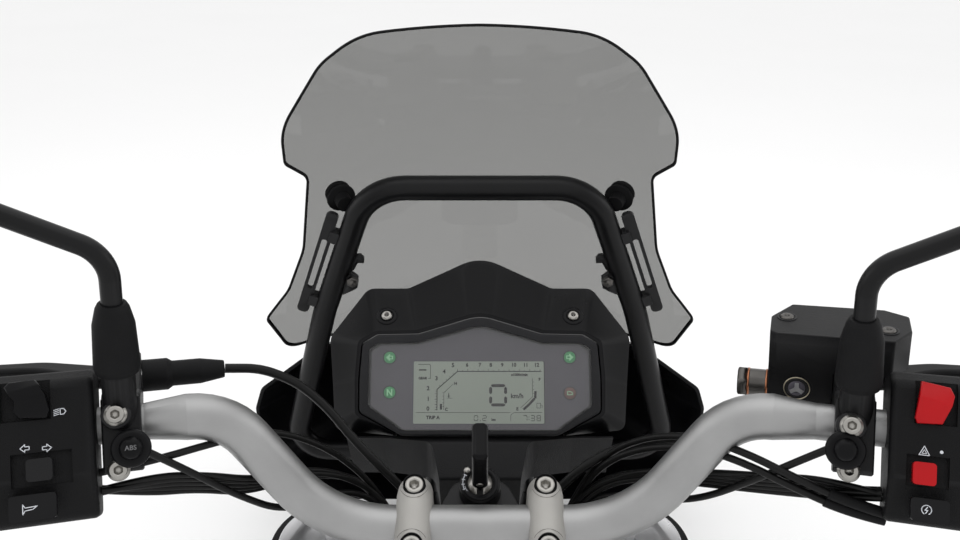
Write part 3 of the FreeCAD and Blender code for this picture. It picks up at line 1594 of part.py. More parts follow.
def make_screen_bracket(side):
    """Slotted slide plate outboard of the hoop's leg, with two saddles on the tube and a rubber's boss."""
    body = new_body(f"screen_bracket_{side_name(side)}", leg_frame(side))
    centre = side * size.slide_offset
    low, thick = -size.slide_length + size.slide_top, size.slide_thickness
    middle = (low + size.slide_top) / 2
    padded(body, "XY_Plane", -thick / 2, thick, rectangle(
        centre, middle, size.slide_width, size.slide_length, size.slide_width / 2 - size.edge_break))
    inner = size.hoop_radius + size.seat_gap
    for share in SADDLE_SHARES:
        height = size.slide_top - size.slide_length * share
        reach = size.slide_offset - size.slide_width / 4
        padded(body, "XY_Plane", -size.slide_width / 2, size.slide_width, rectangle(
            side * reach / 2, height, reach, size.slide_width))
    sketch = new_sketch(body, "XZ_Plane", -size.slide_top)
    draw_circle(sketch, 0, 0, inner)
    pocket(body, sketch, size.slide_length * 2, forward=True)
    recessed(body, "XY_Plane", thick, thick * 2, rectangle(
        centre, middle, size.slot_width, size.slide_length * SLOT_SHARE,
        size.slot_width / 2 - size.edge_break / 2))
    return body


SADDLE_SHARES = (0.2, 0.85)
SLOT_SHARE = 0.5


def screen_point(side, across, height, depth):
    """A frame on the screen's inner face, Z along its outward normal, moved back by a depth."""
    angle = math.degrees(math.asin(across / size.screen_radius))
    turn = Rotation(Vector(0, 0, 1), -side * angle) * Rotation(Vector(1, 0, 0), -90)
    axis = Placement(Vector(0, -size.screen_radius, height), turn)
    inner = size.screen_radius - size.screen_sheet - depth
    return SCREEN * axis * Placement(Vector(0, 0, inner), UPRIGHT)


MOUNT_SHARES = [
    (0.55, 0, 0), (0.55, 0.45, 0), (1, 0.5, 1), (1, 0.62, 1), (0.7, 0.66, 0), (0.7, 0.8, 0),
    (0.9, 0.84, 1), (0.9, 1, 0),
]


def make_screen_mount(side):
    """Flanged rubber between the hoop's shoulder and the screen."""
    length = size.mount_length
    place = screen_point(side, size.mount_across, size.mount_height, length + size.mount_seat)
    return turned(f"screen_mount_{side_name(side)}", place, [(0, 0)] + [
        (size.mount_radius * across, length * along, *[size.edge_break] * edge)
        for across, along, edge in MOUNT_SHARES
    ] + [(0, length)])


# Front mask and headlight


MASK_BACK_SHARES = [
    (0, 1), (0.68, 1, 1.2), (0.965, 0.66, 0.8), (1, 0.5, 0.8), (0.99, 0, 1.5), (0.65, -0.27, 2), (0, -0.27),
]
MASK_FRONT_SHARES = [
    (0, 0.8), (0.3, 0.79, 1), (0.485, 0.58, 1), (0.5, 0.42, 1), (0.46, 0.1, 1), (0.25, -0.14, 1), (0, -0.14),
]
LIGHT_SHARES = [(0, 1), (0.72, 0.98, 1), (1, 0.72, 1), (0.94, 0.22, 1), (0.5, 0, 1), (0, 0)]


def mask_outline(shares, inset):
    corners = scaled(shares, size.mask_half_width, size.mask_top, size.mask_round)
    reach = (size.mask_half_width - inset) / size.mask_half_width
    height = (size.mask_top - inset) / size.mask_top
    return mirrored([(x * reach, y * height) + tuple(rest) for x, y, *rest in corners])


def light_outline(inset):
    half = size.light_half_width - inset
    corners = scaled(LIGHT_SHARES, half, size.light_height - inset * 2, size.light_round)
    return mirrored([(x, y + size.light_bottom + inset) + tuple(rest) for x, y, *rest in corners])


def make_front_mask():
    """Moulded nose shell, open at the back, with an opening for the headlight."""
    body = new_body("front_mask", Placement(Vector(0, size.mask_back, 0), UPRIGHT))
    length, wall = size.mask_length, size.mask_wall
    loft(body, "PartDesign::AdditiveLoft", [
        outline_at(body, 0, mask_outline(MASK_BACK_SHARES, 0), "XZ_Plane"),
        outline_at(body, -length, mask_outline(MASK_FRONT_SHARES, 0), "XZ_Plane"),
    ])
    loft(body, "PartDesign::SubtractiveLoft", [
        outline_at(body, 0, mask_outline(MASK_BACK_SHARES, wall), "XZ_Plane"),
        outline_at(body, wall - length, mask_outline(MASK_FRONT_SHARES, wall), "XZ_Plane"),
    ])
    recessed(body, "XZ_Plane", -length - size.cut_overrun, wall * 2 + size.cut_overrun,
             light_outline(-size.seat_gap), forward=True)
    return body


LIGHT_BOWL_SHARES = [(1, 1 / 3), (0.7, 0.55)]


def make_headlight_housing():
    """Lamp body with two turned reflector bowls behind the clear lens."""
    body = new_body("headlight_housing", Placement(Vector(0, size.mask_back + size.mask_length, 0), UPRIGHT))
    padded(body, "XZ_Plane", 0, size.light_depth, light_outline(0))
    recessed(body, "XZ_Plane", -size.cut_overrun, size.light_lens + size.cut_overrun,
             light_outline(size.light_rim), forward=True)
    middle = size.light_bottom + size.light_height / 2
    for side in (RIGHT, LEFT):
        for wide, deep in LIGHT_BOWL_SHARES:
            drilled(body, "XZ_Plane", -size.cut_overrun, size.light_depth * deep + size.cut_overrun,
                    [(side * size.light_bowl_spread, middle, size.light_bowl_radius * wide)], forward=True)
    return body


def make_headlight_lens():
    body = new_body("headlight_lens", Placement(Vector(0, size.mask_back + size.mask_length, 0), UPRIGHT))
    padded(body, "XZ_Plane", size.seat_gap, size.light_lens - size.seat_gap,
           light_outline(size.light_rim + size.seat_gap))
    return body


# Cables, hoses and looms, on routes measured from the middle of the handlebar


ROUTES = {
    "loom_left": ("loom_radius", [
        (-224.7, -45.1, 65), (-199, -35.4, 61.8), (-174, -21.4, 53), (-152, 3, 31), (-131, 26, 22),
        (-108, 42, 13), (-86, 52, -2), (-69, 52.5, -27), (-60, 54.5, -55), (-56, 60.5, -80),
    ]),
    "loom_right": ("loom_radius", [
        (236.7, -49.3, 66.1), (210, -40, 62.6), (184, -25, 54), (159, -2, 40), (135, 21, 26),
        (110, 40, 14), (87, 50, -2), (69, 52.5, -27), (60, 54.5, -55), (56, 60.5, -80),
    ]),
    "clutch_cable": ("cable_radius", [
        (-172.5, 48.6, 93.8), (-150, 55.2, 90), (-127, 58.5, 77), (-108, 57.5, 58), (-90, 53, 34),
        (-72, 50, 13), (-55, 50, -8), (-44, 54, -31), (-38, 61, -55), (-35, 70, -76),
    ]),
    "brake_hose": ("hose_radius", [
        (185.6, 36.6, 79.9), (182, 42, 58), (166, 48.5, 41), (143, 54, 33), (118, 57, 29), (94, 57, 21),
        (73, 55, 7), (56, 54, -12), (45, 57, -35), (39, 64, -58), (36, 72, -79),
    ]),
}


CLIP_SHARE = 0.7


def add_clips(yoke):
    """Rings on stalks under the yoke's front edge, bored for the last run of each cord."""
    pieces = [yoke]
    bores = []
    for label, (radius_name, route) in ROUTES.items():
        radius = getattr(size, radius_name)
        bend = [BAR.multVec(Vector(*place)) for place in route[-3:]]
        before, last = bend[1:]
        run = (last - before).normalize()
        middle = before + (last - before) * CLIP_SHARE
        half = run * float(size.clip_width / 2)
        side = RIGHT if last.x > 0 else LEFT
        root = YOKE.multVec(Vector(
            side * size.clip_root_across, size.clip_root_ahead, yoke_bottom() + size.fork_cap_flange))
        pieces.append(straight_tube(f"{label}_clip", middle - half, middle + half, radius + size.clip_wall))
        pieces.append(straight_tube(f"{label}_stalk", middle, root, size.clip_stalk_radius))
        bend[-1] = last + half
        bores.append(tube(f"{label}_bore", bend, cord_radii(bend), radius + size.seat_gap))
    return cut_away("top_yoke", fused("yoke_and_clips", pieces), fused("clip_bores", bores))


def make_cord(label):
    radius_name, route = ROUTES[label]
    points = [Vector(*place) for place in route]
    radii = cord_radii(points)
    print(label, "bend radii", [round(radius) for radius in radii])
    cord = tube(label, points, radii, getattr(size, radius_name))
    cord.Placement = BAR
    return cord


# Whole cockpit


def make_all():
    left_place = size.left_switch_place
    right_place = size.right_switch_place
    nodes = [
        make_head_tube(), make_steering_stem(), add_clips(make_top_yoke()), make_handlebar(),
        make_cockpit_stay(),
        make_screen_hoop(), make_windscreen(), make_instrument_housing(), make_instrument_lens(),
        make_instrument_cowl(), make_lock_cover(), make_front_mask(), make_headlight_housing(),
        make_headlight_lens(), make_ignition_lock(), make_ignition_key(), make_clutch_perch(),
        make_brake_perch(), make_reservoir_cap(), make_brake_banjo(), make_clutch_boot(),
        make_grip(LEFT, size.left_grip_start), make_grip(RIGHT, size.right_grip_start),
        make_lever("clutch_lever", LEFT, size.left_perch_place),
        make_lever("brake_lever", RIGHT, size.right_perch_place),
        make_perch_button("perch_button_left", LEFT, size.left_perch_place),
        make_perch_button("perch_button_right", RIGHT, size.right_perch_place),
        make_switch_housing(LEFT, left_place, LEFT_BUTTON_SHARES),
        make_switch_housing(RIGHT, right_place, RIGHT_BUTTON_SHARES),
    ]
    nodes += [make_button(name, LEFT, left_place, spot) for name, spot in LEFT_BUTTON_SHARES.items()]
    nodes += [make_button(name, RIGHT, right_place, spot) for name, spot in RIGHT_BUTTON_SHARES.items()]
    nodes += [make_cord(label) for label in ROUTES]
    paired = (make_fork_tube, make_fork_cap, make_riser, make_bar_cap, make_mirror_stem,
              make_mirror_boot, make_mirror_head, make_mirror_glass, make_screen_bracket, make_screen_mount)
    for side in (LEFT, RIGHT):
        nodes += [make(side) for make in paired]
    return nodes


def write_all(nodes):
    """Check the whole document, then write one file for each sub-part."""
    doc.recompute()
    failed = [item.Label for item in doc.Objects if "Invalid" in item.State or "Error" in item.State]
    failed += [node.Label for node in nodes if node.Shape.isNull() or not node.Shape.isValid()]
    if failed:
        raise RuntimeError(f"these did not compute: {failed}")
    for node in nodes:
        node.Shape.exportStep(f"parts/{node.Label}.step")


write_all(make_all())
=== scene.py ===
import math

import bmesh
import bpy
from mathutils import Matrix, Vector
from mathutils.bvhtree import BVHTree


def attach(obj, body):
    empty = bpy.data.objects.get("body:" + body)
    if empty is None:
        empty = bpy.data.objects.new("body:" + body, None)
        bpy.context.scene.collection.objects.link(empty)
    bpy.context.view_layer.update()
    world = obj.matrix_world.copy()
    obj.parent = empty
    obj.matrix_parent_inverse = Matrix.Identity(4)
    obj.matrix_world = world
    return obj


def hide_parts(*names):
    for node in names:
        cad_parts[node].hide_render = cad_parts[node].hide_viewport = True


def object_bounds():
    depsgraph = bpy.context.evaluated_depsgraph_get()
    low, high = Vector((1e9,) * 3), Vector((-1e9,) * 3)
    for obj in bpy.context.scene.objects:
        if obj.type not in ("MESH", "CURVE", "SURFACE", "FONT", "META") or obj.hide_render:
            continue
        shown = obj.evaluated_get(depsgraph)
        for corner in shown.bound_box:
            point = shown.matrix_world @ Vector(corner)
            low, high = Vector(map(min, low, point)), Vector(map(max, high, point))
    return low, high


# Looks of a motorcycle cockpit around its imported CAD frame.
# Blender works in metres. Lengths below are in millimetres and are multiplied by MM where they are used.

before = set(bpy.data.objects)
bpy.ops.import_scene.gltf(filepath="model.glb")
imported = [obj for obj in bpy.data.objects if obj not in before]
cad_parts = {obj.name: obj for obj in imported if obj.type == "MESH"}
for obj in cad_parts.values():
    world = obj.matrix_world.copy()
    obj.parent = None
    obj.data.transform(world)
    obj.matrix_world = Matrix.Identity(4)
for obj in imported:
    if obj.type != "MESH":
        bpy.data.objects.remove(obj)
cad_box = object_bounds()

MM = 0.001
RIGHT = 1
LEFT = -1
SIDES = {"left": LEFT, "right": RIGHT}


def at(x, y, z):
    return Vector((x, y, z)) * MM


def moved(x, y, z):
    return Matrix.Translation(at(x, y, z))


def turned(degrees, axis):
    return Matrix.Rotation(math.radians(degrees), 4, axis)


# Frames of the CAD, from the same driving sizes

RAKE = 25
BAR_OFFSET, BAR_HEIGHT = 28, 182
INSTRUMENT_AHEAD, INSTRUMENT_UP, INSTRUMENT_LEAN = 133.5, 22.5, 55
HOOP_AHEAD, HOOP_DROP, HOOP_LEAN = 305, 141, 9.7
SCREEN_RADIUS, SCREEN_LEAN = 300, 15
YOKE = turned(RAKE, "X")
BAR = Matrix.Translation(YOKE @ at(0, BAR_OFFSET, BAR_HEIGHT))
INSTRUMENT = BAR @ moved(0, INSTRUMENT_AHEAD, INSTRUMENT_UP) @ turned(INSTRUMENT_LEAN, "X")
HOOP = BAR @ moved(0, HOOP_AHEAD, -HOOP_DROP) @ turned(HOOP_LEAN, "X")

# The bar's outer slope, the turn of its controls to the rider's eyes, and their places from the middle

SHOULDER, TIP = (160, 0, 90), (415, -88, 112.6)
SIGHT = 34.5
PERCH_PLACE = {LEFT: 216.5, RIGHT: 225}
SWITCH_PLACE = {LEFT: 256, RIGHT: 268}


def control(side, distance, sight=0):
    """Frame on the bar: Z outwards, Y up, and X forwards on the right side, backwards on the left."""
    shoulder = Vector((side * SHOULDER[0], SHOULDER[1], SHOULDER[2]))
    tip = Vector((side * TIP[0], TIP[1], TIP[2]))
    out = (tip - shoulder).normalized()
    ahead = (Vector((0, 0, 1)).cross(out) * side).normalized()
    up = out.cross(ahead) * side
    share = (distance - SHOULDER[0]) / (TIP[0] - SHOULDER[0])
    spot = shoulder + (tip - shoulder) * share
    axes = Matrix((ahead * side, up, out)).transposed().to_4x4()
    return BAR @ moved(*spot) @ axes @ turned(-side * sight, "Z")


def facing(side, distance, depth):
    """Frame on a control's face: X to the right, Y up and Z to the rider's eyes."""
    axes = Matrix(((0, 0, side), (0, 1, 0), (-side, 0, 0))).transposed().to_4x4()
    return control(side, distance, SIGHT) @ axes @ moved(0, 0, depth)


# Materials

MOTTLE_SPAN = 0.3, 0.7
MOTTLE_DETAIL = 6
WEAR_SPAN = 0.52, 0.6
WEAR_GAIN, WEAR_LIFT = 3, 0.02
GRAIN_DEPTH = 0.4
GRAIN_KINDS = {"noise": ("ShaderNodeTexNoise", "Fac"), "voronoi": ("ShaderNodeTexVoronoi", "Distance")}
CLEAR_SCALE, CLEAR_DETAIL, CLEAR_MOTTLE, CLEAR_GLOSS_GAIN = 6, 2, 0.02, 1.5
LAMP_ROUGHNESS = 0.4


def link(tree, source, output, target, socket):
    tree.links.new(source.outputs[output], target.inputs[socket])


def new_shader(name):
    """A new material, with its node tree and its shader."""
    material = bpy.data.materials.new(name)
    material.use_nodes = True
    return material, material.node_tree, material.node_tree.nodes["Principled BSDF"]


def clouds(tree, place, scale, detail):
    noise = tree.nodes.new("ShaderNodeTexNoise")
    noise.inputs["Scale"].default_value = scale
    noise.inputs["Detail"].default_value = detail
    link(tree, place, "Object", noise, "Vector")
    return noise


def ramp(tree, source, output, span=(0, 1), colours=((0, 0, 0), (1, 1, 1))):
    """A ramp between two positions, from the first colour to the second."""
    node = tree.nodes.new("ShaderNodeValToRGB")
    for end, position, colour in zip(node.color_ramp.elements, span, colours):
        end.position = position
        end.color = (*colour, 1)
    link(tree, source, output, node, "Fac")
    return node


def scaled(colour, gain, lift=0):
    return tuple(min(1, part * gain + lift) for part in colour)


def uneven_gloss(tree, source, shader, low, high):
    gloss = tree.nodes.new("ShaderNodeMapRange")
    gloss.inputs["To Min"].default_value = low
    gloss.inputs["To Max"].default_value = high
    link(tree, source, "Fac", gloss, "Value")
    link(tree, gloss, "Result", shader, "Roughness")


def worn_edges(tree, tone, colour, wear):
    """The tone, rubbed lighter along outer edges."""
    edge = tree.nodes.new("ShaderNodeNewGeometry")
    level = ramp(tree, edge, "Pointiness", WEAR_SPAN)
    fade = tree.nodes.new("ShaderNodeMath")
    fade.operation = "MULTIPLY"
    fade.inputs[1].default_value = wear
    link(tree, level, "Color", fade, 0)
    blend = tree.nodes.new("ShaderNodeMix")
    blend.data_type = "RGBA"
    blend.inputs["B"].default_value = (*scaled(colour, WEAR_GAIN, WEAR_LIFT), 1)
    link(tree, fade, "Value", blend, "Factor")
    link(tree, tone, "Color", blend, "A")
    return blend


def raise_grain(tree, place, shader, strength, scale, kind):
    """A fine grain that raises the surface, of soft noise or of small cells."""
    texture, output = GRAIN_KINDS[kind]
    fine = tree.nodes.new(texture)
    fine.inputs["Scale"].default_value = scale
    link(tree, place, "Object", fine, "Vector")
    bump = tree.nodes.new("ShaderNodeBump")
    bump.inputs["Strength"].default_value = strength
    bump.inputs["Distance"].default_value = GRAIN_DEPTH * MM
    link(tree, fine, output, bump, "Height")
    link(tree, bump, "Normal", shader, "Normal")


def surface(name, colour, roughness, metallic=0.0, mottle=0.15, mottle_scale=40, grain=0.0,
            grain_scale=900, kind="noise", wear=0.0, specular=0.5, rough_spread=0.08):
    """A procedural finish: mottled colour, uneven gloss and a fine grain that raises the surface."""
    material, tree, shader = new_shader(name)
    shader.inputs["Metallic"].default_value = metallic
    shader.inputs["Specular IOR Level"].default_value = specular
    place = tree.nodes.new("ShaderNodeTexCoord")
    cloud = clouds(tree, place, mottle_scale, MOTTLE_DETAIL)
    tones = scaled(colour, 1 - mottle), scaled(colour, 1 + mottle)
    tone = ramp(tree, cloud, "Fac", MOTTLE_SPAN, tones)
    if wear:
        link(tree, worn_edges(tree, tone, colour, wear), "Result", shader, "Base Color")
    else:
        link(tree, tone, "Color", shader, "Base Color")
    uneven_gloss(tree, cloud, shader, roughness - rough_spread, roughness + rough_spread)
    if grain:
        raise_grain(tree, place, shader, grain, grain_scale, kind)
    return material


def clear(name, colour, roughness=0.02, ior=1.49):
    """A see-through sheet or lens, faintly uneven in its gloss."""
    material, tree, shader = new_shader(name)
    shader.inputs["Transmission Weight"].default_value = 1
    shader.inputs["IOR"].default_value = ior
    place = tree.nodes.new("ShaderNodeTexCoord")
    cloud = clouds(tree, place, CLEAR_SCALE, CLEAR_DETAIL)
    tones = scaled(colour, 1 - CLEAR_MOTTLE), scaled(colour, 1 + CLEAR_MOTTLE)
    tone = ramp(tree, cloud, "Fac", colours=tones)
    link(tree, tone, "Color", shader, "Base Color")
    uneven_gloss(tree, cloud, shader, roughness, roughness * CLEAR_GLOSS_GAIN)
    return material


def lit(name, colour, strength):
    """A lamp that glows evenly in its own colour."""
    material = surface(name, colour, LAMP_ROUGHNESS, mottle=0.05)
    shader = material.node_tree.nodes["Principled BSDF"]
    shader.inputs["Emission Color"].default_value = (*colour, 1)
    shader.inputs["Emission Strength"].default_value = strength
    return material


PAINT = surface("satin_black_paint", (0.0035, 0.0035, 0.004), 0.34, grain=0.12, grain_scale=700,
                wear=0.3, specular=0.2)
CAST = surface("black_cast_metal", (0.0045, 0.0045, 0.005), 0.42, grain=0.35, grain_scale=1100, wear=0.5,
               specular=0.17)
PLASTIC = surface("grained_black_plastic", (0.0045, 0.0045, 0.005), 0.5, grain=0.5, grain_scale=1500,
                  kind="voronoi", wear=0.3, specular=0.13)
SMOOTH_PLASTIC = surface("smooth_black_plastic", (0.0025, 0.0025, 0.003), 0.3, grain=0.05, wear=0.25,
                         specular=0.11)
BEZEL_PLASTIC = surface("bezel_plastic", (0.013, 0.013, 0.0145), 0.55, grain=0.6, grain_scale=1300,
                        kind="voronoi", specular=0.2)
RUBBER = surface("black_rubber", (0.0065, 0.0065, 0.007), 0.62, grain=0.3, grain_scale=1200, mottle=0.25,
                 specular=0.12)
SHEATH = surface("cable_sheath", (0.003, 0.003, 0.003), 0.4, grain=0.15, grain_scale=600, specular=0.2)
BAR_SILVER = surface("anodised_silver", (0.345, 0.345, 0.345), 0.46, metallic=1, grain=0.12,
                     grain_scale=2200, mottle=0.05, rough_spread=0.04)
CLAMP_GREY = surface("blasted_aluminium", (0.37, 0.36, 0.34), 0.55, metallic=0.35, grain=0.3,
                     grain_scale=1800, mottle=0.06)
ALUMINIUM = surface("turned_aluminium", (0.55, 0.55, 0.56), 0.3, metallic=1, grain=0.1, mottle=0.06)
STEEL = surface("bright_steel", (0.33, 0.32, 0.30), 0.3, metallic=1, grain=0.15, mottle=0.12)
DARK_STEEL = surface("dark_steel", (0.10, 0.095, 0.09), 0.34, metallic=1, grain=0.2, mottle=0.2)
COPPER = surface("copper_washer", (0.42, 0.17, 0.09), 0.35, metallic=1, grain=0.15, mottle=0.15)
PALE_BRASS = surface("pale_brass", (0.50, 0.45, 0.34), 0.3, metallic=1, grain=0.15, mottle=0.12)
CHROME = surface("chrome_reflector", (0.75, 0.75, 0.76), 0.06, metallic=1, mottle=0.03, rough_spread=0.02)
MIRROR = surface("mirror_silver", (0.85, 0.86, 0.87), 0.03, metallic=1, mottle=0.01, rough_spread=0.01)
RED = surface("red_plastic", (0.42, 0.003, 0.006), 0.3, grain=0.05, mottle=0.06, specular=0.2)
WHITE_INK = surface("white_print", (0.62, 0.64, 0.68), 0.5, mottle=0.05)
GREY_INK = surface("grey_print", (0.12, 0.12, 0.125), 0.5, mottle=0.08)
DARK_INK = surface("display_segments", (0.012, 0.014, 0.013), 0.6, mottle=0.1, specular=0.1)
FADED_INK = surface("display_segments_faded", (0.04, 0.045, 0.04), 0.6, mottle=0.1, specular=0.1)
LAMP_INK = surface("lamp_symbol", (0.35, 0.75, 0.42), 0.5)
DISPLAY = surface("display_glass", (0.36, 0.41, 0.34), 0.45, mottle=0.04, mottle_scale=12, specular=0.2)
DIAL = surface("dial_face", (0.085, 0.08, 0.096), 0.5, grain=0.05, mottle=0.05, specular=0.2)
GREEN_LAMP = lit("green_lamp", (0.04, 0.30, 0.10), 0.12)
AMBER_LAMP = lit("dim_amber_lamp", (0.16, 0.07, 0.05), 0.05)
LENS = clear("clear_lens", (0.97, 0.97, 0.98), roughness=0.005)
HEADLIGHT_LENS = clear("headlight_glass", (0.95, 0.97, 0.98))
SMOKE = clear("smoked_screen", (0.27, 0.27, 0.265), ior=1.3)

FACE_SHARE = 0.5
EDGE_BLACK = (0.004, 0.004, 0.004, 1)


def darken_rim(material):
    """Close the sheet's cut edge with a dark line, told by its normals lying along the bent sheet."""
    tree = material.node_tree
    shader = tree.nodes["Principled BSDF"]
    place = tree.nodes.new("ShaderNodeTexCoord")
    parts = tree.nodes.new("ShaderNodeSeparateXYZ")
    link(tree, place, "Object", parts, "Vector")
    lean = math.radians(SCREEN_LEAN)

    def calculate(operation, source, value=None):
        step = tree.nodes.new("ShaderNodeMath")
        step.operation = operation
        tree.links.new(source, step.inputs[0])
        if value is not None:
            step.inputs[1].default_value = value
        return step.outputs["Value"]

    sine = calculate("DIVIDE", parts.outputs["X"], SCREEN_RADIUS * MM)
    cosine = calculate("COSINE", calculate("ARCSINE", sine))
    outward = tree.nodes.new("ShaderNodeCombineXYZ")
    tree.links.new(sine, outward.inputs["X"])
    tree.links.new(calculate("MULTIPLY", cosine, math.cos(lean)), outward.inputs["Y"])
    tree.links.new(calculate("MULTIPLY", cosine, math.sin(lean)), outward.inputs["Z"])
    along = tree.nodes.new("ShaderNodeVectorMath")
    along.operation = "DOT_PRODUCT"
    link(tree, outward, "Vector", along, 0)
    link(tree, place, "Normal", along, 1)
    sheet_face = calculate("GREATER_THAN", calculate("ABSOLUTE", along.outputs["Value"]), FACE_SHARE)
    tree.links.new(sheet_face, shader.inputs["Transmission Weight"])
    tint = tree.nodes.new("ShaderNodeMix")
    tint.data_type = "RGBA"
    tint.inputs["A"].default_value = EDGE_BLACK
    tree.links.new(sheet_face, tint.inputs["Factor"])
    tree.links.new(shader.inputs["Base Color"].links[0].from_socket, tint.inputs["B"])
    link(tree, tint, "Result", shader, "Base Color")


darken_rim(SMOKE)

NODE_MATERIALS = {
    "head_tube": PAINT, "cockpit_stay": PAINT, "screen_hoop": PAINT, "top_yoke": PAINT,
    "steering_stem": STEEL, "handlebar": BAR_SILVER, "clutch_perch": CAST, "brake_perch": CAST,
    "reservoir_cap": CAST, "clutch_lever": CAST, "brake_lever": CAST, "brake_banjo": DARK_STEEL,
    "clutch_boot": RUBBER, "left_switch_housing": PLASTIC, "right_switch_housing": PLASTIC,
    "dip_switch": SMOOTH_PLASTIC, "indicator_switch": PLASTIC, "horn_button": SMOOTH_PLASTIC,
    "kill_switch": RED, "hazard_switch": RED, "start_button": SMOOTH_PLASTIC, "ignition_lock": CAST,
    "ignition_key": SMOOTH_PLASTIC, "instrument_housing": BEZEL_PLASTIC, "instrument_lens": LENS,
    "instrument_cowl": SMOOTH_PLASTIC, "lock_cover": PLASTIC, "front_mask": SMOOTH_PLASTIC,
    "headlight_housing": CHROME, "headlight_lens": HEADLIGHT_LENS, "windscreen": SMOKE,
    "clutch_cable": SHEATH, "brake_hose": SHEATH,
}
PAIR_MATERIALS = {
    "screen_bracket": CAST, "screen_mount": RUBBER, "fork_tube": DARK_STEEL, "fork_cap": ALUMINIUM,
    "riser": CLAMP_GREY, "bar_cap": CLAMP_GREY, "perch_button": CAST, "grip": RUBBER,
    "mirror_stem": PAINT, "mirror_boot": RUBBER, "mirror_head": PLASTIC, "mirror_glass": MIRROR,
    "loom": SHEATH,
}
for stem, material in PAIR_MATERIALS.items():
    for side_name in SIDES:
        NODE_MATERIALS[f"{stem}_{side_name}"] = material

for name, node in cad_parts.items():
    if not node.data.materials:
        node.data.materials.append(None)
    for slot in node.material_slots:
        slot.material = NODE_MATERIALS[name]

# Mesh helpers

SMOOTH_UNDER = 35
LATHE_STEPS, HEX_SIDES, DISC_STEPS, ARC_STEPS, CORNER_STEPS = 36, 6, 24, 14, 5
SAME_LEVEL = 0.0001


def put(name, data, material):
    """Put finished data in the scene, with its material."""
    item = bpy.data.objects.new(name, data)
    bpy.context.collection.objects.link(item)
    data.materials.append(material)
    return item


def carry(item, body):
    """Let a piece ride on a body."""
    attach(item, body)
    return item


def piece(name, shape, material, body, smooth=True):
    """Make a piece of a finished shape."""
    mesh = bpy.data.meshes.new(name)
    shape.to_mesh(mesh)
    shape.free()
    item = put(name, mesh, material)
    for face in mesh.polygons:
        face.use_smooth = smooth
    if smooth:
        bpy.context.view_layer.objects.active = item
        item.select_set(True)
        bpy.ops.object.shade_auto_smooth(angle=math.radians(SMOOTH_UNDER))
        item.select_set(False)
    return carry(item, body)


def hex_share(angle):
    """Reach of a hexagon at an angle, against the radius of the circle inside it."""
    step = 2 * math.pi / HEX_SIDES
    return 1 / math.cos((angle + step / 2) % step - step / 2)


def lathe(name, profile, place, material, body):
    """A turned piece from radius and height pairs. A third value marks a hexagonal level."""
    shape = bmesh.new()
    rings = []
    for radius, height, *mark in profile:
        if radius == 0:
            rings.append([shape.verts.new(place @ at(0, 0, height))])
            continue
        ring = []
        for step in range(LATHE_STEPS):
            angle = 2 * math.pi * step / LATHE_STEPS
            reach = radius * (hex_share(angle) if mark else 1)
            ring.append(shape.verts.new(place @ at(reach * math.cos(angle), reach * math.sin(angle), height)))
        rings.append(ring)
    for low, high in zip(rings, rings[1:]):
        for step in range(LATHE_STEPS):
            after = (step + 1) % LATHE_STEPS
            corners = [low[step % len(low)], low[after % len(low)],
                       high[after % len(high)], high[step % len(high)]]
            unique = list(dict.fromkeys(corners))
            if len(unique) > 2:
                shape.faces.new(unique)
    bmesh.ops.recalc_face_normals(shape, faces=shape.faces)
    return piece(name, shape, material, body)


def slab(name, outlines, low, high, place, material, body, record_slot, bevel=0.0):
    """Flat pieces cut from closed outlines, from a low to a high level of the frame's Z."""
    shape = bmesh.new()
    for outline in outlines:
        bottom = [shape.verts.new(at(x, y, low)) for x, y in outline]
        top = [shape.verts.new(at(x, y, high)) for x, y in outline]
        shape.faces.new(top)
        shape.faces.new(list(reversed(bottom)))
        count = len(outline)
        for step in range(count):
            after = (step + 1) % count
            shape.faces.new([bottom[step], bottom[after], top[after], top[step]])
    bmesh.ops.recalc_face_normals(shape, faces=shape.faces)
    if bevel:
        edges = [edge for edge in shape.edges
                 if all(abs(vert.co.z - high * MM) < SAME_LEVEL * MM for vert in edge.verts)]
        bmesh.ops.bevel(shape, geom=edges, offset=bevel * MM, segments=2, affect="EDGES")
    shape.transform(place)
    return piece(name, shape, material, body, smooth=bool(bevel))


def stroke(points, width, closed=False):
    """Outlines of straight strokes that follow a line of points, with square ends."""
    ends = list(zip(points, points[1:]))
    if closed:
        ends.append((points[-1], points[0]))
    bars = []
    for (x1, y1), (x2, y2) in ends:
        length = math.hypot(x2 - x1, y2 - y1)
        ux, uy = (x2 - x1) / length * width / 2, (y2 - y1) / length * width / 2
        bars.append([(x1 - ux + uy, y1 - uy - ux), (x2 + ux + uy, y2 + uy - ux),
                     (x2 + ux - uy, y2 + uy + ux), (x1 - ux - uy, y1 - uy + ux)])
    return bars


def box(x, y, width, height):
    return [(x - width / 2, y - height / 2), (x + width / 2, y - height / 2),
            (x + width / 2, y + height / 2), (x - width / 2, y + height / 2)]


def round_box(x, y, width, height, radius):
    """A closed outline of a rectangle with round corners."""
    outline = []
    for corner, (right, up) in enumerate(((1, 1), (-1, 1), (-1, -1), (1, -1))):
        for step in range(CORNER_STEPS + 1):
            angle = math.pi / 2 * (corner + step / CORNER_STEPS)
            outline.append((x + right * (width / 2 - radius) + radius * math.cos(angle),
                            y + up * (height / 2 - radius) + radius * math.sin(angle)))
    return outline


def on_circle(radius, degrees, x=0, y=0):
    turn = math.radians(degrees)
    return x + radius * math.cos(turn), y + radius * math.sin(turn)


def disc(x, y, radius):
    return [on_circle(radius, 360 * step / DISC_STEPS, x, y) for step in range(DISC_STEPS)]


def arc(x, y, radius, first, last):
    """Points of an arc between two angles in degrees."""
    return [on_circle(radius, first + (last - first) * step / ARC_STEPS, x, y)
            for step in range(ARC_STEPS + 1)]


FONT_GAIN = 1.4


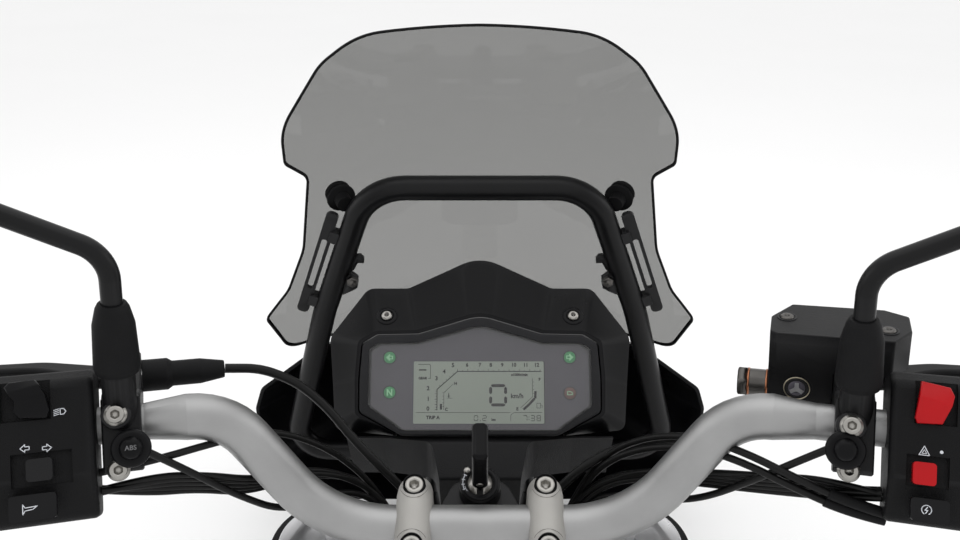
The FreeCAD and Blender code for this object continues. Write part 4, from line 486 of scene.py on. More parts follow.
def lettering(name, text, size, place, material, body, depth=0.05, bold=0.0):
    """Raised lettering centred on the frame's origin, with capitals about as high as the size."""
    curve = bpy.data.curves.new(name, "FONT")
    curve.body = text
    curve.size = size * MM * FONT_GAIN
    curve.align_x = "CENTER"
    curve.align_y = "CENTER"
    curve.extrude = depth * MM
    curve.offset = bold * MM
    curve.resolution_u = 3
    item = put(name, curve, material)
    item.matrix_world = place
    return carry(item, body)


def smooth_line(name, points, radius, material, body, place=BAR):
    """A smooth NURBS line with a round section."""
    curve = bpy.data.curves.new(name, "CURVE")
    curve.dimensions = "3D"
    curve.bevel_depth = radius * MM
    curve.bevel_resolution = 4
    curve.resolution_u = 8
    curve.use_fill_caps = True
    line = curve.splines.new("NURBS")
    line.points.add(len(points) - 1)
    for point, spot in zip(line.points, points):
        point.co = (*(place @ at(*spot)), 1)
    line.order_u = 3
    line.use_endpoint_u = True
    return carry(put(name, curve, material), body)


# Fasteners

SOCKET_SHARE = 0.46
CROSS_LENGTH, CROSS_WIDTH = 0.9, 0.2


def socket_screw(name, place, radius, height, body):
    """Socket head screw: the frame's origin lies on the seat of its head."""
    socket = radius * SOCKET_SHARE
    lathe(name, [
        (0, 0), (radius, 0), (radius, height * 0.9), (radius * 0.93, height), (socket * 1.18, height),
        (socket, height * 0.93, "hex"), (socket, height * 0.42, "hex"), (0, height * 0.38),
    ], place, STEEL, body)


def pan_screw(name, place, radius, height, material, body, record_slot):
    """Domed screw with a cross on its head."""
    lathe(name, [
        (0, -0.5), (radius, -0.5), (radius, height * 0.25), (radius * 0.8, height * 0.75),
        (radius * 0.42, height), (radius * 0.4, height * 0.8), (0, height * 0.55),
    ], place, material, body)
    length, width = radius * CROSS_LENGTH, radius * CROSS_WIDTH
    slab(name + "_cross", [box(0, 0, length, width), box(0, 0, width, length)],
         height * 0.72, height * 0.98, place, DARK_STEEL, body, record_slot)


# Handlebar clamps: socket screws in their counterbores, each with a dark ring of painted shade filling the
# gap round its head

CLAMP_X, CLAMP_TOP, CLAMP_PITCH, HEAD_SINK = 44, 202.5, 42, 8.5
HEAD_RADIUS, HEAD_HEIGHT, HEAD_GAP = 6.4, 7.6, 0.3
CONTOUR_RADIUS, CONTOUR_SWEEP, CONTOUR_WIDTH = 10, 130, 0.3
CONTOUR_LEVELS = CLAMP_TOP - 0.1, CLAMP_TOP + 0.03
CLAMP_ENDS = {"front": (1, 205), "rear": (-1, 25)}
for side_name, side in SIDES.items():
    for end_name, (end, first) in CLAMP_ENDS.items():
        across, ahead = side * CLAMP_X, BAR_OFFSET + end * CLAMP_PITCH / 2
        seat = YOKE @ moved(across, ahead, CLAMP_TOP - HEAD_SINK + HEAD_GAP)
        socket_screw(f"clamp_screw_{end_name}_{side_name}", seat, HEAD_RADIUS, HEAD_HEIGHT, "steering")
        # Black ring filling the counterbore's gap nearly to its top: painted shade of the recess round the
        # screw head.
        lathe(f"clamp_ring_{end_name}_{side_name}", [
            (6.5, 0), (7.55, 0), (7.55, 7.9), (7.2, 8.1), (6.9, 7.4), (6.5, 0),
        ], seat, RUBBER, "steering")
        contour = arc(across, ahead, CONTOUR_RADIUS, first, first + CONTOUR_SWEEP)
        slab(f"clamp_contour_{end_name}_{side_name}", stroke(contour, CONTOUR_WIDTH), *CONTOUR_LEVELS, YOKE,
             DARK_STEEL, "steering", "clamp_grey")

# Split disc, dark ring and white marks on the ignition lock, and the key's slot, rivet and blade

LOCK_AHEAD, LOCK_FACE, LOCK_DISC, LOCK_RADIUS = 73, 157, 9.5, 15
DISC_PLAY, DISC_SWEEP, DISC_EDGE = 0.3, 76, 0.3
DISC_LEVELS, LOCK_MARK_LEVELS = (-1, 0.7), (0.9, 1.15)
LOCK_PIN = -9.4, 9.6, 0.6
LOCK_ARCS = [(12.4, 150, 205, 0.7), (11.2, 196, 214, 0.6)]
TICK_ANGLES, TICK_INNER, TICK_OUTER, TICK_WIDTH = (150, 168, 186, 204), 11.4, 13.2, 0.6
lock_top = YOKE @ moved(0, LOCK_AHEAD, LOCK_FACE)
inner = LOCK_DISC + DISC_PLAY
lathe("lock_ring", [
    (inner, 0), (LOCK_RADIUS - 1.2, 0), (LOCK_RADIUS - 1.6, 0.8), (LOCK_DISC + 0.9, 1.1), (inner, 0.4),
    (inner, 0),
], lock_top, SMOOTH_PLASTIC, "steering")
for side_name, side in SIDES.items():
    half_disc = [(side * x, y) for x, y in arc(0, 0, LOCK_DISC - DISC_PLAY, -DISC_SWEEP, DISC_SWEEP)]
    slab(f"lock_disc_{side_name}", [half_disc], *DISC_LEVELS, lock_top, STEEL, "steering", "lock_steel",
         bevel=DISC_EDGE)
lock_marks = []
for radius, first, last, width in LOCK_ARCS:
    lock_marks += stroke(arc(0, 0, radius, first, last), width)
for angle in TICK_ANGLES:
    lock_marks += stroke([on_circle(TICK_INNER, angle), on_circle(TICK_OUTER, angle)], TICK_WIDTH)
slab("lock_marks", lock_marks, *LOCK_MARK_LEVELS, lock_top, WHITE_INK, "steering", "lock_steel")
lathe("lock_pin", [(0, 0), (2.4, 0), (2.4, 1.8), (1.7, 2.4), (0, 2.6)], lock_top @ moved(*LOCK_PIN), STEEL,
      "steering")

KEY_HALF_DEPTH, KEY_BOW_FOOT = 14, 20
KEY_SLOT, SLOT_LEVELS = round_box(0, 24, 3, 13, 1.4), (-0.1, 0.12)
KEY_BLADE, BLADE_LEVELS = box(0, 0, 2.8, 8.4), (0.9, KEY_BOW_FOOT + 0.1)
RIVET_UP = 4.6
key_face = lock_top @ moved(0, -KEY_HALF_DEPTH, KEY_BOW_FOOT) @ turned(90, "X")
slab("key_slot", [KEY_SLOT], *SLOT_LEVELS, key_face, SHEATH, "steering", "moulded_black")
lathe("key_rivet", [(0, -0.1), (2.3, -0.1), (2.3, 0.5), (1.6, 0.9), (0, 1)],
      key_face @ moved(0, RIVET_UP, 0), STEEL, "steering")
slab("key_blade_skin", [KEY_BLADE], *BLADE_LEVELS, lock_top, STEEL, "steering", "lock_steel")

# The instrument's display: glass, scales, digits and words

FACE_DEPTH, RIM_HEIGHT, GLASS_HEIGHT = -7, 1.5, 0.25
INK_THICK, INK_SINK = 0.12, 0.02
RIM_LEVEL = FACE_DEPTH + RIM_HEIGHT
SEGMENT_LEVEL = RIM_LEVEL + GLASS_HEIGHT
INK_LEVELS = SEGMENT_LEVEL, SEGMENT_LEVEL + INK_THICK
DIGIT_GAP, DIGIT_SHIFT, DIGIT_CUT = 0.12, 0.25, 0.8
DIGITS = {"0": "abcdef", "2": "abged", "3": "abgcd", "7": "abc", "8": "abcdefg"}


def seven_segments(x, y, width, height, digit, thick):
    """Bars of one digit. The letters a to g name them clockwise from the top, g is the middle one."""
    half, gap = height / 2, thick * DIGIT_GAP
    upright = half - thick
    flat = width - thick
    middle = upright / 2 + thick * DIGIT_SHIFT
    parts = {
        "a": (0, half - thick / 2, flat, thick, True), "d": (0, thick / 2 - half, flat, thick, True),
        "g": (0, 0, flat, thick, True), "f": (-flat / 2, middle, thick, upright, False),
        "b": (flat / 2, middle, thick, upright, False), "e": (-flat / 2, -middle, thick, upright, False),
        "c": (flat / 2, -middle, thick, upright, False),
    }
    bars = []
    for letter in DIGITS[digit]:
        cx, cy, wide, tall, lying = parts[letter]
        wide, tall = wide - gap, tall - gap
        cut = thick / 2 * DIGIT_CUT
        if lying:
            outline = [(-wide / 2, 0), (-wide / 2 + cut, -tall / 2), (wide / 2 - cut, -tall / 2),
                       (wide / 2, 0), (wide / 2 - cut, tall / 2), (-wide / 2 + cut, tall / 2)]
        else:
            outline = [(0, -tall / 2), (wide / 2, -tall / 2 + cut), (wide / 2, tall / 2 - cut),
                       (0, tall / 2), (-wide / 2, tall / 2 - cut), (-wide / 2, -tall / 2 + cut)]
        bars.append([(x + cx + u, y + cy + v) for u, v in outline])
    return bars


def tick_row(corner, pitch, numbers, tick, width, odd_share=1):
    """Short lines in a row from a corner. The odd ones can be shorter."""
    bars = []
    for number in numbers:
        x, y = corner[0] + number * pitch[0], corner[1] + number * pitch[1]
        share = odd_share if number % 2 else 1
        bars += stroke([(x, y), (x + tick[0] * share, y + tick[1] * share)], width)
    return bars


HAIR, FINE, MEDIUM, BOLD, MINUS_SIGN, BLOCK = 0.3, 0.35, 0.4, 0.7, 1.0, 1.9
SCALE_FOOT, SCALE_BEND, SCALE_CREST, SCALE_END = (-34.4, -13.8), (-34.4, 2.4), (-18.1, 16.7), (49, 16.7)
HEAT_FOOT, FUEL_TOP = (-28.9, -13.8), (42, 11.2)
ODD_TICK = 0.5625
DISPLAY_LINES = [
    (BOLD, [SCALE_FOOT, SCALE_BEND, SCALE_CREST, SCALE_END]),
    (FINE, [(-51, -16), (24, -16)]),
    (FINE, [(24.5, -22.4), (24.5, -18), (27.2, -16), (49.5, -16)]),
    (MEDIUM, [(-49.6, 22.4), (-40.8, 22.4), (-39.8, 21.4), (-39.8, 11.2), (-41.4, 11.2)]),
    (MINUS_SIGN, [(-48.6, 17.9), (-43.6, 17.9)]),
    (FINE, [HEAT_FOOT, (-28.9, -0.3), (-21.8, 6.4)]),
    (FINE, [FUEL_TOP, (42, -3.6), (32.4, -12.3)]),
    (BLOCK, [(44.4, 0), (44.2, -4)]),
    (BLOCK, [(43, -5.6), (40, -8.8)]),
    (BLOCK, [(38.8, -10), (35.4, -13)]),
    (FINE, [(-26.2, -3), (-23.8, -3)]),
    (BOLD, [(-25, -1), (-25, -4)]),
    (HAIR, [(-26.6, -4.6), (-22, -4.6)]),
    (FINE, [(45.4, -8.6), (48.4, -8.6), (48.4, -12.4), (45.4, -12.4), (45.4, -8.6)]),
    (HAIR, [(48.4, -9.6), (49.6, -10.4), (49.6, -12.4)]),
]
TICK_ROWS = [
    (SCALE_CREST, (4.15, 0), range(17), (0, 1.6), MEDIUM, ODD_TICK),
    (SCALE_FOOT, (0, 2.1), range(8), (-1.6, 0), MEDIUM, ODD_TICK),
    (SCALE_BEND, (2.7, 2.37), range(1, 6), (-0.8, 0.9), MEDIUM),
    (HEAT_FOOT, (0, 2.7), range(1, 6), (-1, 0), HAIR),
    (FUEL_TOP, (0, -3), range(1, 5), (1.2, 0), HAIR),
]
HEAT_BAR = box(-31.2, -11.4, 1.7, 4.4)
SPEED_DIGIT = 14.5, -2.3, 14.7, 18, "0", 2.7
SMALL_DIGITS = [(-3.2, 4.6, "0"), (3.6, 4.6, "2"), (36, 4.8, "7"), (42, 4.8, "3"), (46.8, 4.8, "8")]
SMALL_LEVEL, SMALL_WIDTH, SMALL_THICK = -20.4, 3.6, 0.65
GLASS_OUTLINE = round_box(-1, 0, 104.6, 49.6, 1)
SMALL_DOTS = [box(0.2, -22.4, 0.7, 0.7), box(39, -19.4, 0.6, 0.6), box(39, -21.4, 0.6, 0.6)]

slab("display_glass", [GLASS_OUTLINE], RIM_LEVEL + INK_SINK, SEGMENT_LEVEL, INSTRUMENT, DISPLAY, "frame",
     "moulded_black")
display_bars = seven_segments(*SPEED_DIGIT) + [HEAT_BAR]
for width, points in DISPLAY_LINES:
    display_bars += stroke(points, width)
for row in TICK_ROWS:
    display_bars += tick_row(*row)
slab("display_marks", display_bars, *INK_LEVELS, INSTRUMENT, DARK_INK, "frame", "moulded_black")
faded_bars = list(SMALL_DOTS)
for x, height, digit in SMALL_DIGITS:
    faded_bars += seven_segments(x, SMALL_LEVEL, SMALL_WIDTH, height, digit, SMALL_THICK)
slab("display_small_digits", faded_bars, *INK_LEVELS, INSTRUMENT, FADED_INK, "frame", "moulded_black")

DISPLAY_WORDS = [
    ("0", -41.6, -13, 2.7), ("1", -41.4, -5.3, 2.7), ("2", -41.6, 3.1, 2.7), ("3", -34.9, 11.1, 2.7),
    ("4", -28.8, 16.5, 2.7), ("5", -21.7, 21.6, 2.7), ("6", -10.4, 21.8, 2.4), ("7", -0.1, 21.8, 2.4),
    ("8", 8.7, 21.8, 2.4), ("9", 17.9, 21.8, 2.4), ("10", 27.2, 21.8, 2.4), ("11", 36.8, 21.8, 2.4),
    ("12", 45.6, 21.8, 2.4), ("x1000r/min", 31.7, 14, 1.7), ("km/h", 29.7, -3, 3), ("GEAR", -46, 11.2, 1.6),
    ("H", -19.6, 6.9, 2), ("C", -26.8, -13.6, 2), ("F", 47.8, 10.2, 2), ("E", 29.8, -13.2, 2),
    ("TRIP A", -37.6, -20, 2.2), ("km", 10.8, -21.6, 1.6),
]
WORD_GAIN, WORD_BOLD = 1.2, 0.16


def on_face(x, y, level):
    return INSTRUMENT @ moved(x, y, level)


for index, (text, x, y, height) in enumerate(DISPLAY_WORDS):
    place = on_face(x, y, SEGMENT_LEVEL + INK_THICK / 2)
    lettering(f"display_word_{index:02d}", text, height * WORD_GAIN, place, DARK_INK, "frame",
              bold=WORD_BOLD)

# Dial face and its lamps

HALF_WIDTH, RISE, LENS_BORDER, DIAL_BORDER = 96.4, 61.3, 7, 1.9
LENS_REACH = HALF_WIDTH - LENS_BORDER - DIAL_BORDER, RISE - LENS_BORDER - DIAL_BORDER
LENS_HALF = [(0, 1), (0.57, 0.728), (0.92, 0.72), (1, 0.63), (1, -0.2), (0.69, -0.56)]
DIAL_LEVEL = FACE_DEPTH + 0.2
dial_right = [(x * LENS_REACH[0], y * LENS_REACH[1]) for x, y in LENS_HALF]
dial_outline = dial_right + [(-x, y) for x, y in reversed(dial_right[1:])]
slab("dial_face", [dial_outline], FACE_DEPTH + INK_SINK, DIAL_LEVEL, INSTRUMENT, DIAL, "frame",
     "moulded_black")

LAMPS = {
    "turn_left": (-73, 28, GREEN_LAMP), "turn_right": (72.5, 28.2, GREEN_LAMP),
    "neutral": (-72.6, 0, GREEN_LAMP), "engine": (72.2, -0.6, AMBER_LAMP),
}
ARROW_LEFT = [(-2.5, 0), (0, 2.4), (0, 1.1), (2.4, 1.1), (2.4, -1.1), (0, -1.1), (0, -2.4)]
ARROW_RIGHT = [(-x, y) for x, y in ARROW_LEFT]
LETTER_N = [(-1.7, -2.1), (-1.7, 2.1), (1.7, -2.1), (1.7, 2.1)]
ENGINE = [(-2, -1.2), (-2, 1.2), (0.8, 1.2), (2, 0.2), (2, -1.2)]
ARROW_WIDTH, LETTER_WIDTH, ENGINE_WIDTH = 0.7, 1, 0.5
LAMP_MARK_LEVELS = 0.4, 0.7
LAMP_MARKS = {
    "turn_left": stroke(ARROW_LEFT, ARROW_WIDTH, closed=True) + [ARROW_LEFT[:2] + ARROW_LEFT[-1:]],
    "turn_right": stroke(ARROW_RIGHT, ARROW_WIDTH, closed=True) + [ARROW_RIGHT[:2] + ARROW_RIGHT[-1:]],
    "neutral": stroke(LETTER_N, LETTER_WIDTH),
    "engine": stroke(ENGINE, ENGINE_WIDTH, closed=True),
}
for name, (x, y, material) in LAMPS.items():
    seat = on_face(x, y, DIAL_LEVEL)
    lathe(f"lamp_{name}", [(0, 0), (4.7, 0), (4.5, 0.3), (0, 0.5)], seat, material, "frame")
    lathe(f"lamp_ring_{name}", [(4.75, 0), (5.5, 0), (5.4, 0.5), (4.8, 0.5), (4.75, 0)], seat,
          SMOOTH_PLASTIC, "frame")
for name, bars in LAMP_MARKS.items():
    x, y, _ = LAMPS[name]
    slab(f"lamp_mark_{name}", bars, *LAMP_MARK_LEVELS, on_face(x, y, DIAL_LEVEL), LAMP_INK, "frame",
         "moulded_black")

# Cowl screws in their dished seats

SCREW_ACROSS, SCREW_UP, SCREW_FROM = 76, 62, 60
COWL_SCREW = 4.6, 2.6
COWL_SCREW_GAP = 0.4


def seat_on(node, start, direction):
    """Frame where a line first meets a CAD node, with Z along the surface's normal."""
    tree = BVHTree.FromPolygons([vertex.co for vertex in node.data.vertices],
                                [tuple(face.vertices) for face in node.data.polygons])
    spot, normal, _, _ = tree.ray_cast(start, direction)
    if normal.dot(direction) > 0:
        normal = -normal
    return Matrix.Translation(spot) @ normal.to_track_quat("Z", "Y").to_matrix().to_4x4()


for side_name, side in SIDES.items():
    above = INSTRUMENT @ at(side * SCREW_ACROSS, SCREW_UP, SCREW_FROM)
    seat = seat_on(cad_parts["instrument_cowl"], above, -INSTRUMENT.col[2].xyz)
    pan_screw(f"cowl_screw_{side_name}", seat @ moved(0, 0, COWL_SCREW_GAP), *COWL_SCREW, STEEL, "frame",
              "steel")
    lathe(f"cowl_screw_seat_{side_name}", [(5, 0), (8.6, 0), (8.2, 0.7), (6.2, 0.9), (5.2, 0.5), (5, 0)],
          seat, SMOOTH_PLASTIC, "frame")

# Windscreen: a dark trim along the rider's side of its edge

TRIM_RADIUS, TRIM_STEP = 1.2, 6
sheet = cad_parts["windscreen"].data
lean = math.radians(SCREEN_LEAN)
borders = set()
for face in sheet.polygons:
    sine = face.center.x / (SCREEN_RADIUS * MM)
    cosine = math.sqrt(1 - sine ** 2)
    outward = Vector((sine, cosine * math.cos(lean), cosine * math.sin(lean)))
    if face.normal.dot(outward) < -FACE_SHARE:
        corners = [tuple(round(value / MM, 3) for value in sheet.vertices[index].co)
                   for index in face.vertices]
        borders.update(zip(corners, corners[1:] + corners[:1]))
outline = {start: end for start, end in borders if (end, start) not in borders}
loop = [max(outline, key=lambda spot: spot[2])]
while outline[loop[-1]] != loop[0]:
    loop.append(outline[loop[-1]])
trim_points = []
for start, end in zip(loop, loop[1:] + loop[:1]):
    start, end = Vector(start), Vector(end)
    spans = math.ceil((end - start).length / TRIM_STEP)
    trim_points += [start.lerp(end, step / spans) for step in range(spans)]
smooth_line("screen_trim", trim_points + trim_points[:1], TRIM_RADIUS, RUBBER, "frame",
            place=Matrix())

# Adjusters inside the hoop's legs: a lug on the tube, a hooked lever and their nut

LUG = [(127, 188), (118, 192.4), (112.7, 195.8), (112.2, 202.5), (115.8, 206), (121.9, 211)]
HOOK = [
    (121, 208), (114.2, 214.6), (110.8, 221.2), (105.3, 221.2), (105, 225), (107.5, 228.7), (112, 228.9),
    (117.7, 225.5), (119.5, 217),
]
LUG_HALF, HOOK_HALF, ADJUSTER_EDGE = 6, 3, 1
NUT_ACROSS, NUT_UP = 116.4, 205
hoop_face = HOOP @ turned(90, "X")
for side_name, side in SIDES.items():
    for name, points, half in (("lug", LUG, LUG_HALF), ("hook", HOOK, HOOK_HALF)):
        slab(f"adjuster_{name}_{side_name}", [[(side * x, z) for x, z in points]], -half, half, hoop_face,
             CAST, "frame", "cast_black", bevel=ADJUSTER_EDGE)
    lathe(f"adjuster_nut_{side_name}", [
        (0, 0), (4.6, 0, "hex"), (4.6, 4, "hex"), (3.6, 4.6), (2, 4.8), (2, 6.4), (0, 6.8),
    ], hoop_face @ moved(side * NUT_ACROSS, NUT_UP, LUG_HALF), DARK_STEEL, "frame")

# Perches: bolts square to the rider's eyes, and the round buttons' domes and mark

LUG_FACE, BOLT_ACROSS = 20, -2.5
BOLT_SPOTS = {
    LEFT: {"upper": (4, 7.3), "lower": (-27.5, 0)},
    RIGHT: {"upper": (-2, 7.3), "lower": (-27.5, 0)},
}
BOLT_RADIUS, BOLT_HEIGHT, WASHER_HEIGHT = 5, 5.2, 1.2
BUTTON_DROP, BUTTON_IN, DOME_FOOT, MARK_LEVEL, MARK_HEIGHT = 16, 5, 5.7, 13.6, 2.7
for side_name, side in SIDES.items():
    lug = facing(side, PERCH_PLACE[side], LUG_FACE)
    for end_name, (up, boss) in BOLT_SPOTS[side].items():
        if boss:
            lathe(f"perch_boss_{end_name}_{side_name}", [
                (0, -1), (8.6, -1), (8.2, boss - 1.2), (7.4, boss), (0, boss),
            ], lug @ moved(BOLT_ACROSS, up, 0), CAST, "steering")
        seat = lug @ moved(BOLT_ACROSS, up, boss)
        lathe(f"perch_washer_{end_name}_{side_name}", [(0, 0), (6.4, 0), (6.4, 1.1), (0, 1.3)], seat,
              STEEL, "steering")
        socket_screw(f"perch_bolt_{end_name}_{side_name}", seat @ moved(0, 0, WASHER_HEIGHT), BOLT_RADIUS,
                     BOLT_HEIGHT, "steering")
    lathe(f"perch_dome_{side_name}", [
        (7.6, -0.4), (10.9, -0.4), (11.2, 0.8), (10.9, 2), (9.8, 3), (7.4, 3.4), (6.9, 3.1), (6.6, 3.6),
        (6.3, 5.4), (5.2, 6.9), (3.2, 7.8), (0, 8.1),
    ], lug @ moved(-side * BUTTON_IN, -BUTTON_DROP, DOME_FOOT), SMOOTH_PLASTIC, "steering")
left_lug = facing(LEFT, PERCH_PLACE[LEFT], LUG_FACE)
lettering("perch_button_mark", "ABS", MARK_HEIGHT, left_lug @ moved(BUTTON_IN, -BUTTON_DROP, MARK_LEVEL),
          GREY_INK, "steering", depth=0.3, bold=0.05)

# Fluid chamber: cap screws, level glass and the hose's copper washers

CAP_TOP = 41
CAP_SCREWS = {"inner": (58.8, -41.3), "outer": (48.8, 19.4)}
CAP_SCREW = 4.4, 1.4
CAP_SCREW_GAP = 0.3
reservoir = control(RIGHT, PERCH_PLACE[RIGHT])
for name, (ahead, out) in CAP_SCREWS.items():
    seat = reservoir @ moved(ahead, CAP_TOP, out) @ turned(-90, "X")
    pan_screw(f"cap_screw_{name}", seat @ moved(0, 0, CAP_SCREW_GAP), *CAP_SCREW, DARK_STEEL, "steering",
              "steel")
    lathe(f"cap_screw_ring_{name}", [(4.8, 0), (6.4, 0), (6.1, 0.5), (5.1, 0.5), (4.8, 0)], seat, CAST,
          "steering")

BANJO_PLACE = 43, -1, -51
COPPER_LEVELS = {"inner": 0.1, "outer": 11.6}
COPPER_HEIGHT = 1.3
banjo = reservoir @ moved(*BANJO_PLACE) @ turned(180, "Y")
for name, level in COPPER_LEVELS.items():
    top = level + COPPER_HEIGHT
    lathe(f"copper_washer_{name}", [(8.1, level), (9.4, level), (9.4, top), (8.1, top), (8.1, level)],
          banjo, COPPER, "steering")
lathe("banjo_hex", [(0, 13.1), (9, 13.1, "hex"), (9, 18.4, "hex"), (8, 19.2), (0, 19.2)], banjo, DARK_STEEL,
      "steering")

GLASS_PLACE = 34, 2.5, -32.9
STAR_ARMS, STAR_LEVELS = 3, (1, 1.5)
STAR_CORNERS = [(4.6, 75), (4.6, 105), (1.9, 135), (1.9, 165)]
glass = reservoir @ moved(*GLASS_PLACE) @ turned(-90, "Y")
lathe("level_glass_ring", [(7.6, 0), (8.3, 0), (8.2, 0.7), (7.7, 0.7), (7.6, 0)], glass, PALE_BRASS,
      "steering")
lathe("level_glass_seat", [(5.2, 0), (7.1, 0), (6.9, 0.4), (5.6, 0.4), (5.2, 0)], glass, CAST, "steering")
lathe("level_glass", [(0, 0.2), (5.3, 0.2), (5.3, 0.7), (3, 1), (0, 1.1)], glass, DIAL, "steering")
star = [on_circle(radius, angle + arm * 360 / STAR_ARMS) for arm in range(STAR_ARMS)
        for radius, angle in STAR_CORNERS]
slab("level_glass_star", [star], *STAR_LEVELS, glass, ALUMINIUM, "steering", "clear_lens")

# Rockers in place of the plain kill and dip switches

SWITCH_FACE, BUTTON_FACE = 27, 31
ROCKER_SINK, ROCKER_EDGE = 1, 0.8
LOW_RIM, RIDGE = 30.2, 33.4
LOW_RIDGE = RIDGE - 0.8


def rocker(name, side, outline, folds, material, node):
    """A faceted switch: outline points with their own heights, its top split along fold lines."""
    shape = bmesh.new()
    foot = [shape.verts.new(at(x, y, SWITCH_FACE - ROCKER_SINK)) for x, y, _ in outline]
    rim = [shape.verts.new(at(x, y, level)) for x, y, level in outline]
    for step in range(len(outline)):
        after = (step + 1) % len(outline)
        shape.faces.new([foot[step], foot[after], rim[after], rim[step]])
    shape.faces.new(list(reversed(foot)))
    shape.faces.new(rim)
    for first, last in folds:
        top = next(face for face in shape.faces if rim[first] in face.verts and rim[last] in face.verts
                   and not set(foot) & set(face.verts))
        bmesh.utils.face_split(top, rim[first], rim[last])
    bmesh.ops.recalc_face_normals(shape, faces=shape.faces)
    upper = [edge for edge in shape.edges if not set(foot) & set(edge.verts)]
    bmesh.ops.bevel(shape, geom=upper, offset=ROCKER_EDGE * MM, segments=3, affect="EDGES", profile=0.5)
    shape.transform(facing(side, SWITCH_PLACE[side], 0))
    item = piece(name, shape, material, "steering")
    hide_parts(node)


rocker("kill_rocker", RIGHT, [
    (-12.6, 27.2, LOW_RIM), (-13.9, 18.3, RIDGE), (-15.5, 6.5, LOW_RIM), (-14.3, 3.4, LOW_RIM),
    (-1.4, 4.1, LOW_RIM), (2.8, 14.4, RIDGE), (4.1, 20, LOW_RIM + 1.6), (2, 24.8, LOW_RIM),
], [(1, 5)], RED, "kill_switch")
rocker("dip_rocker", LEFT, [
    (-15, 27.7, LOW_RIM), (-17.7, 25, LOW_RIM), (-15.8, 21.8, RIDGE), (-12.3, 16.6, LOW_RIDGE),
    (-13.1, 10.9, LOW_RIM), (-10, 7.3, LOW_RIM), (3.6, 6.1, LOW_RIM), (5.1, 10.5, LOW_RIM),
    (3.5, 19.2, LOW_RIDGE), (0.6, 25, RIDGE), (-1.9, 28.2, LOW_RIM),
], [(2, 9), (3, 8)], SMOOTH_PLASTIC, "dip_switch")

# Switch marks, printed on the housings' faces and on two buttons

MARK_LINE, MARK_FINE, MARK_BOLD = 0.45, 0.35, 0.5
ARROW_OUT = [(-2.4, 0), (0, 2.08), (0, 0.88), (2.24, 0.88), (2.24, -0.88), (0, -0.88), (0, -2.08)]
LAMP_BOWL = [(10.4, 7.4), (10.4, 10.7), (12.2, 10.6), (13.4, 9), (12.2, 7.5)]
LAMP_RAYS = 4
HORN = [(-9.6, -40), (-9.6, -45.2), (-8.4, -43.4), (-4.6, -43), (-2.4, -41.4), (-4.2, -41.6), (-8.4, -41.8)]
OUTER_TRIANGLE = [(-12.6, -13.8), (-7.2, -13.8), (-9.9, -8.8)]
INNER_TRIANGLE = [(-11.1, -12.9), (-8.7, -12.9), (-9.9, -10.8)]
FLASH = [(-8, -42), (-9.2, -43.6), (-7.8, -43.6), (-8.8, -45.2)]


def mark(name, side, bars, level=SWITCH_FACE):
    slab(name, bars, 0, INK_THICK, facing(side, SWITCH_PLACE[side], level), WHITE_INK, "steering",
         "moulded_black")


mark("mark_arrow_left", LEFT, stroke([(x - 8.3, y - 9.5) for x, y in ARROW_OUT], MARK_LINE, closed=True))
mark("mark_arrow_right", LEFT, stroke([(2.9 - x, y - 10.5) for x, y in ARROW_OUT], MARK_LINE, closed=True))
lamp_bars = stroke(LAMP_BOWL, MARK_LINE, closed=True)
for step in range(LAMP_RAYS):
    lamp_bars += stroke([(7.1, 7 + step), (9.6, 7.6 + step)], MARK_FINE)
mark("mark_headlight", LEFT, lamp_bars)
mark("mark_horn", LEFT, stroke(HORN, MARK_LINE, closed=True), level=BUTTON_FACE)
mark("mark_hazard", RIGHT, stroke(OUTER_TRIANGLE, MARK_LINE, closed=True)
     + stroke(INNER_TRIANGLE, MARK_FINE, closed=True))
mark("mark_dot", RIGHT, [disc(-1.2, -11.2, 0.9)])
mark("mark_run", RIGHT, stroke(arc(10.6, 4.4, 2.4, 60, 390), MARK_LINE)
     + stroke([(10.6, 5.2), (10.6, 7.4)], MARK_BOLD))
mark("mark_start", RIGHT, stroke(arc(-8.4, -43.4, 2.5, -60, 240), MARK_LINE) + stroke(FLASH, MARK_LINE),
     level=BUTTON_FACE)

# Looms as bundles of thin cables, and the wires and cables that join them

LOOMS = {
    "loom_left": [
        (-224.7, -45.1, 65), (-199, -35.4, 61.8), (-174, -21.4, 53), (-152, 3, 31), (-131, 26, 22),
        (-108, 42, 13), (-86, 52, -2), (-69, 52.5, -27), (-60, 54.5, -55), (-56, 60.5, -80),
    ],
    "loom_right": [
        (236.7, -49.3, 66.1), (210, -40, 62.6), (184, -25, 54), (159, -2, 40), (135, 21, 26),
        (110, 40, 14), (87, 50, -2), (69, 52.5, -27), (60, 54.5, -55), (56, 60.5, -80),
    ],
}
STRANDS, STRAND_RADIUS, FAN_PITCH, TIGHT_RADIUS = 5, 1.9, 3.4, 3.1
FANNED_POINTS, CLOSING_POINTS, ENTRY_SHARE = 3, 4, 0.7


def strand_points(route, number):
    """A cable's points beside its loom's route: fanned out flat at first, in a round bundle at the end."""
    points = []
    for step, spot in enumerate(route):
        before, after = Vector(route[max(step - 1, 0)]), Vector(route[min(step + 1, len(route) - 1)])
        along = (after - before).normalized()
        lift = along.cross(Vector((0, 1, 0))).normalized()
        if lift.z + lift.x * along.z < 0:
            lift.negate()
        aside = lift.cross(along)
        fan = lift * (number - (STRANDS - 1) / 2) * FAN_PITCH
        angle = 2 * math.pi * number / STRANDS
        tight = (lift * math.sin(angle) + aside * math.cos(angle)) * TIGHT_RADIUS
        share = min(1, max(0, (step - FANNED_POINTS) / CLOSING_POINTS)) if step else ENTRY_SHARE
        points.append(Vector(spot) + fan * (1 - share) + tight * share)
    return points


for node, route in LOOMS.items():
    for number in range(STRANDS):
        strand = smooth_line(f"{node}_cable_{number}", strand_points(route, number), STRAND_RADIUS, SHEATH,
                             "steering")
        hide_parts(node)

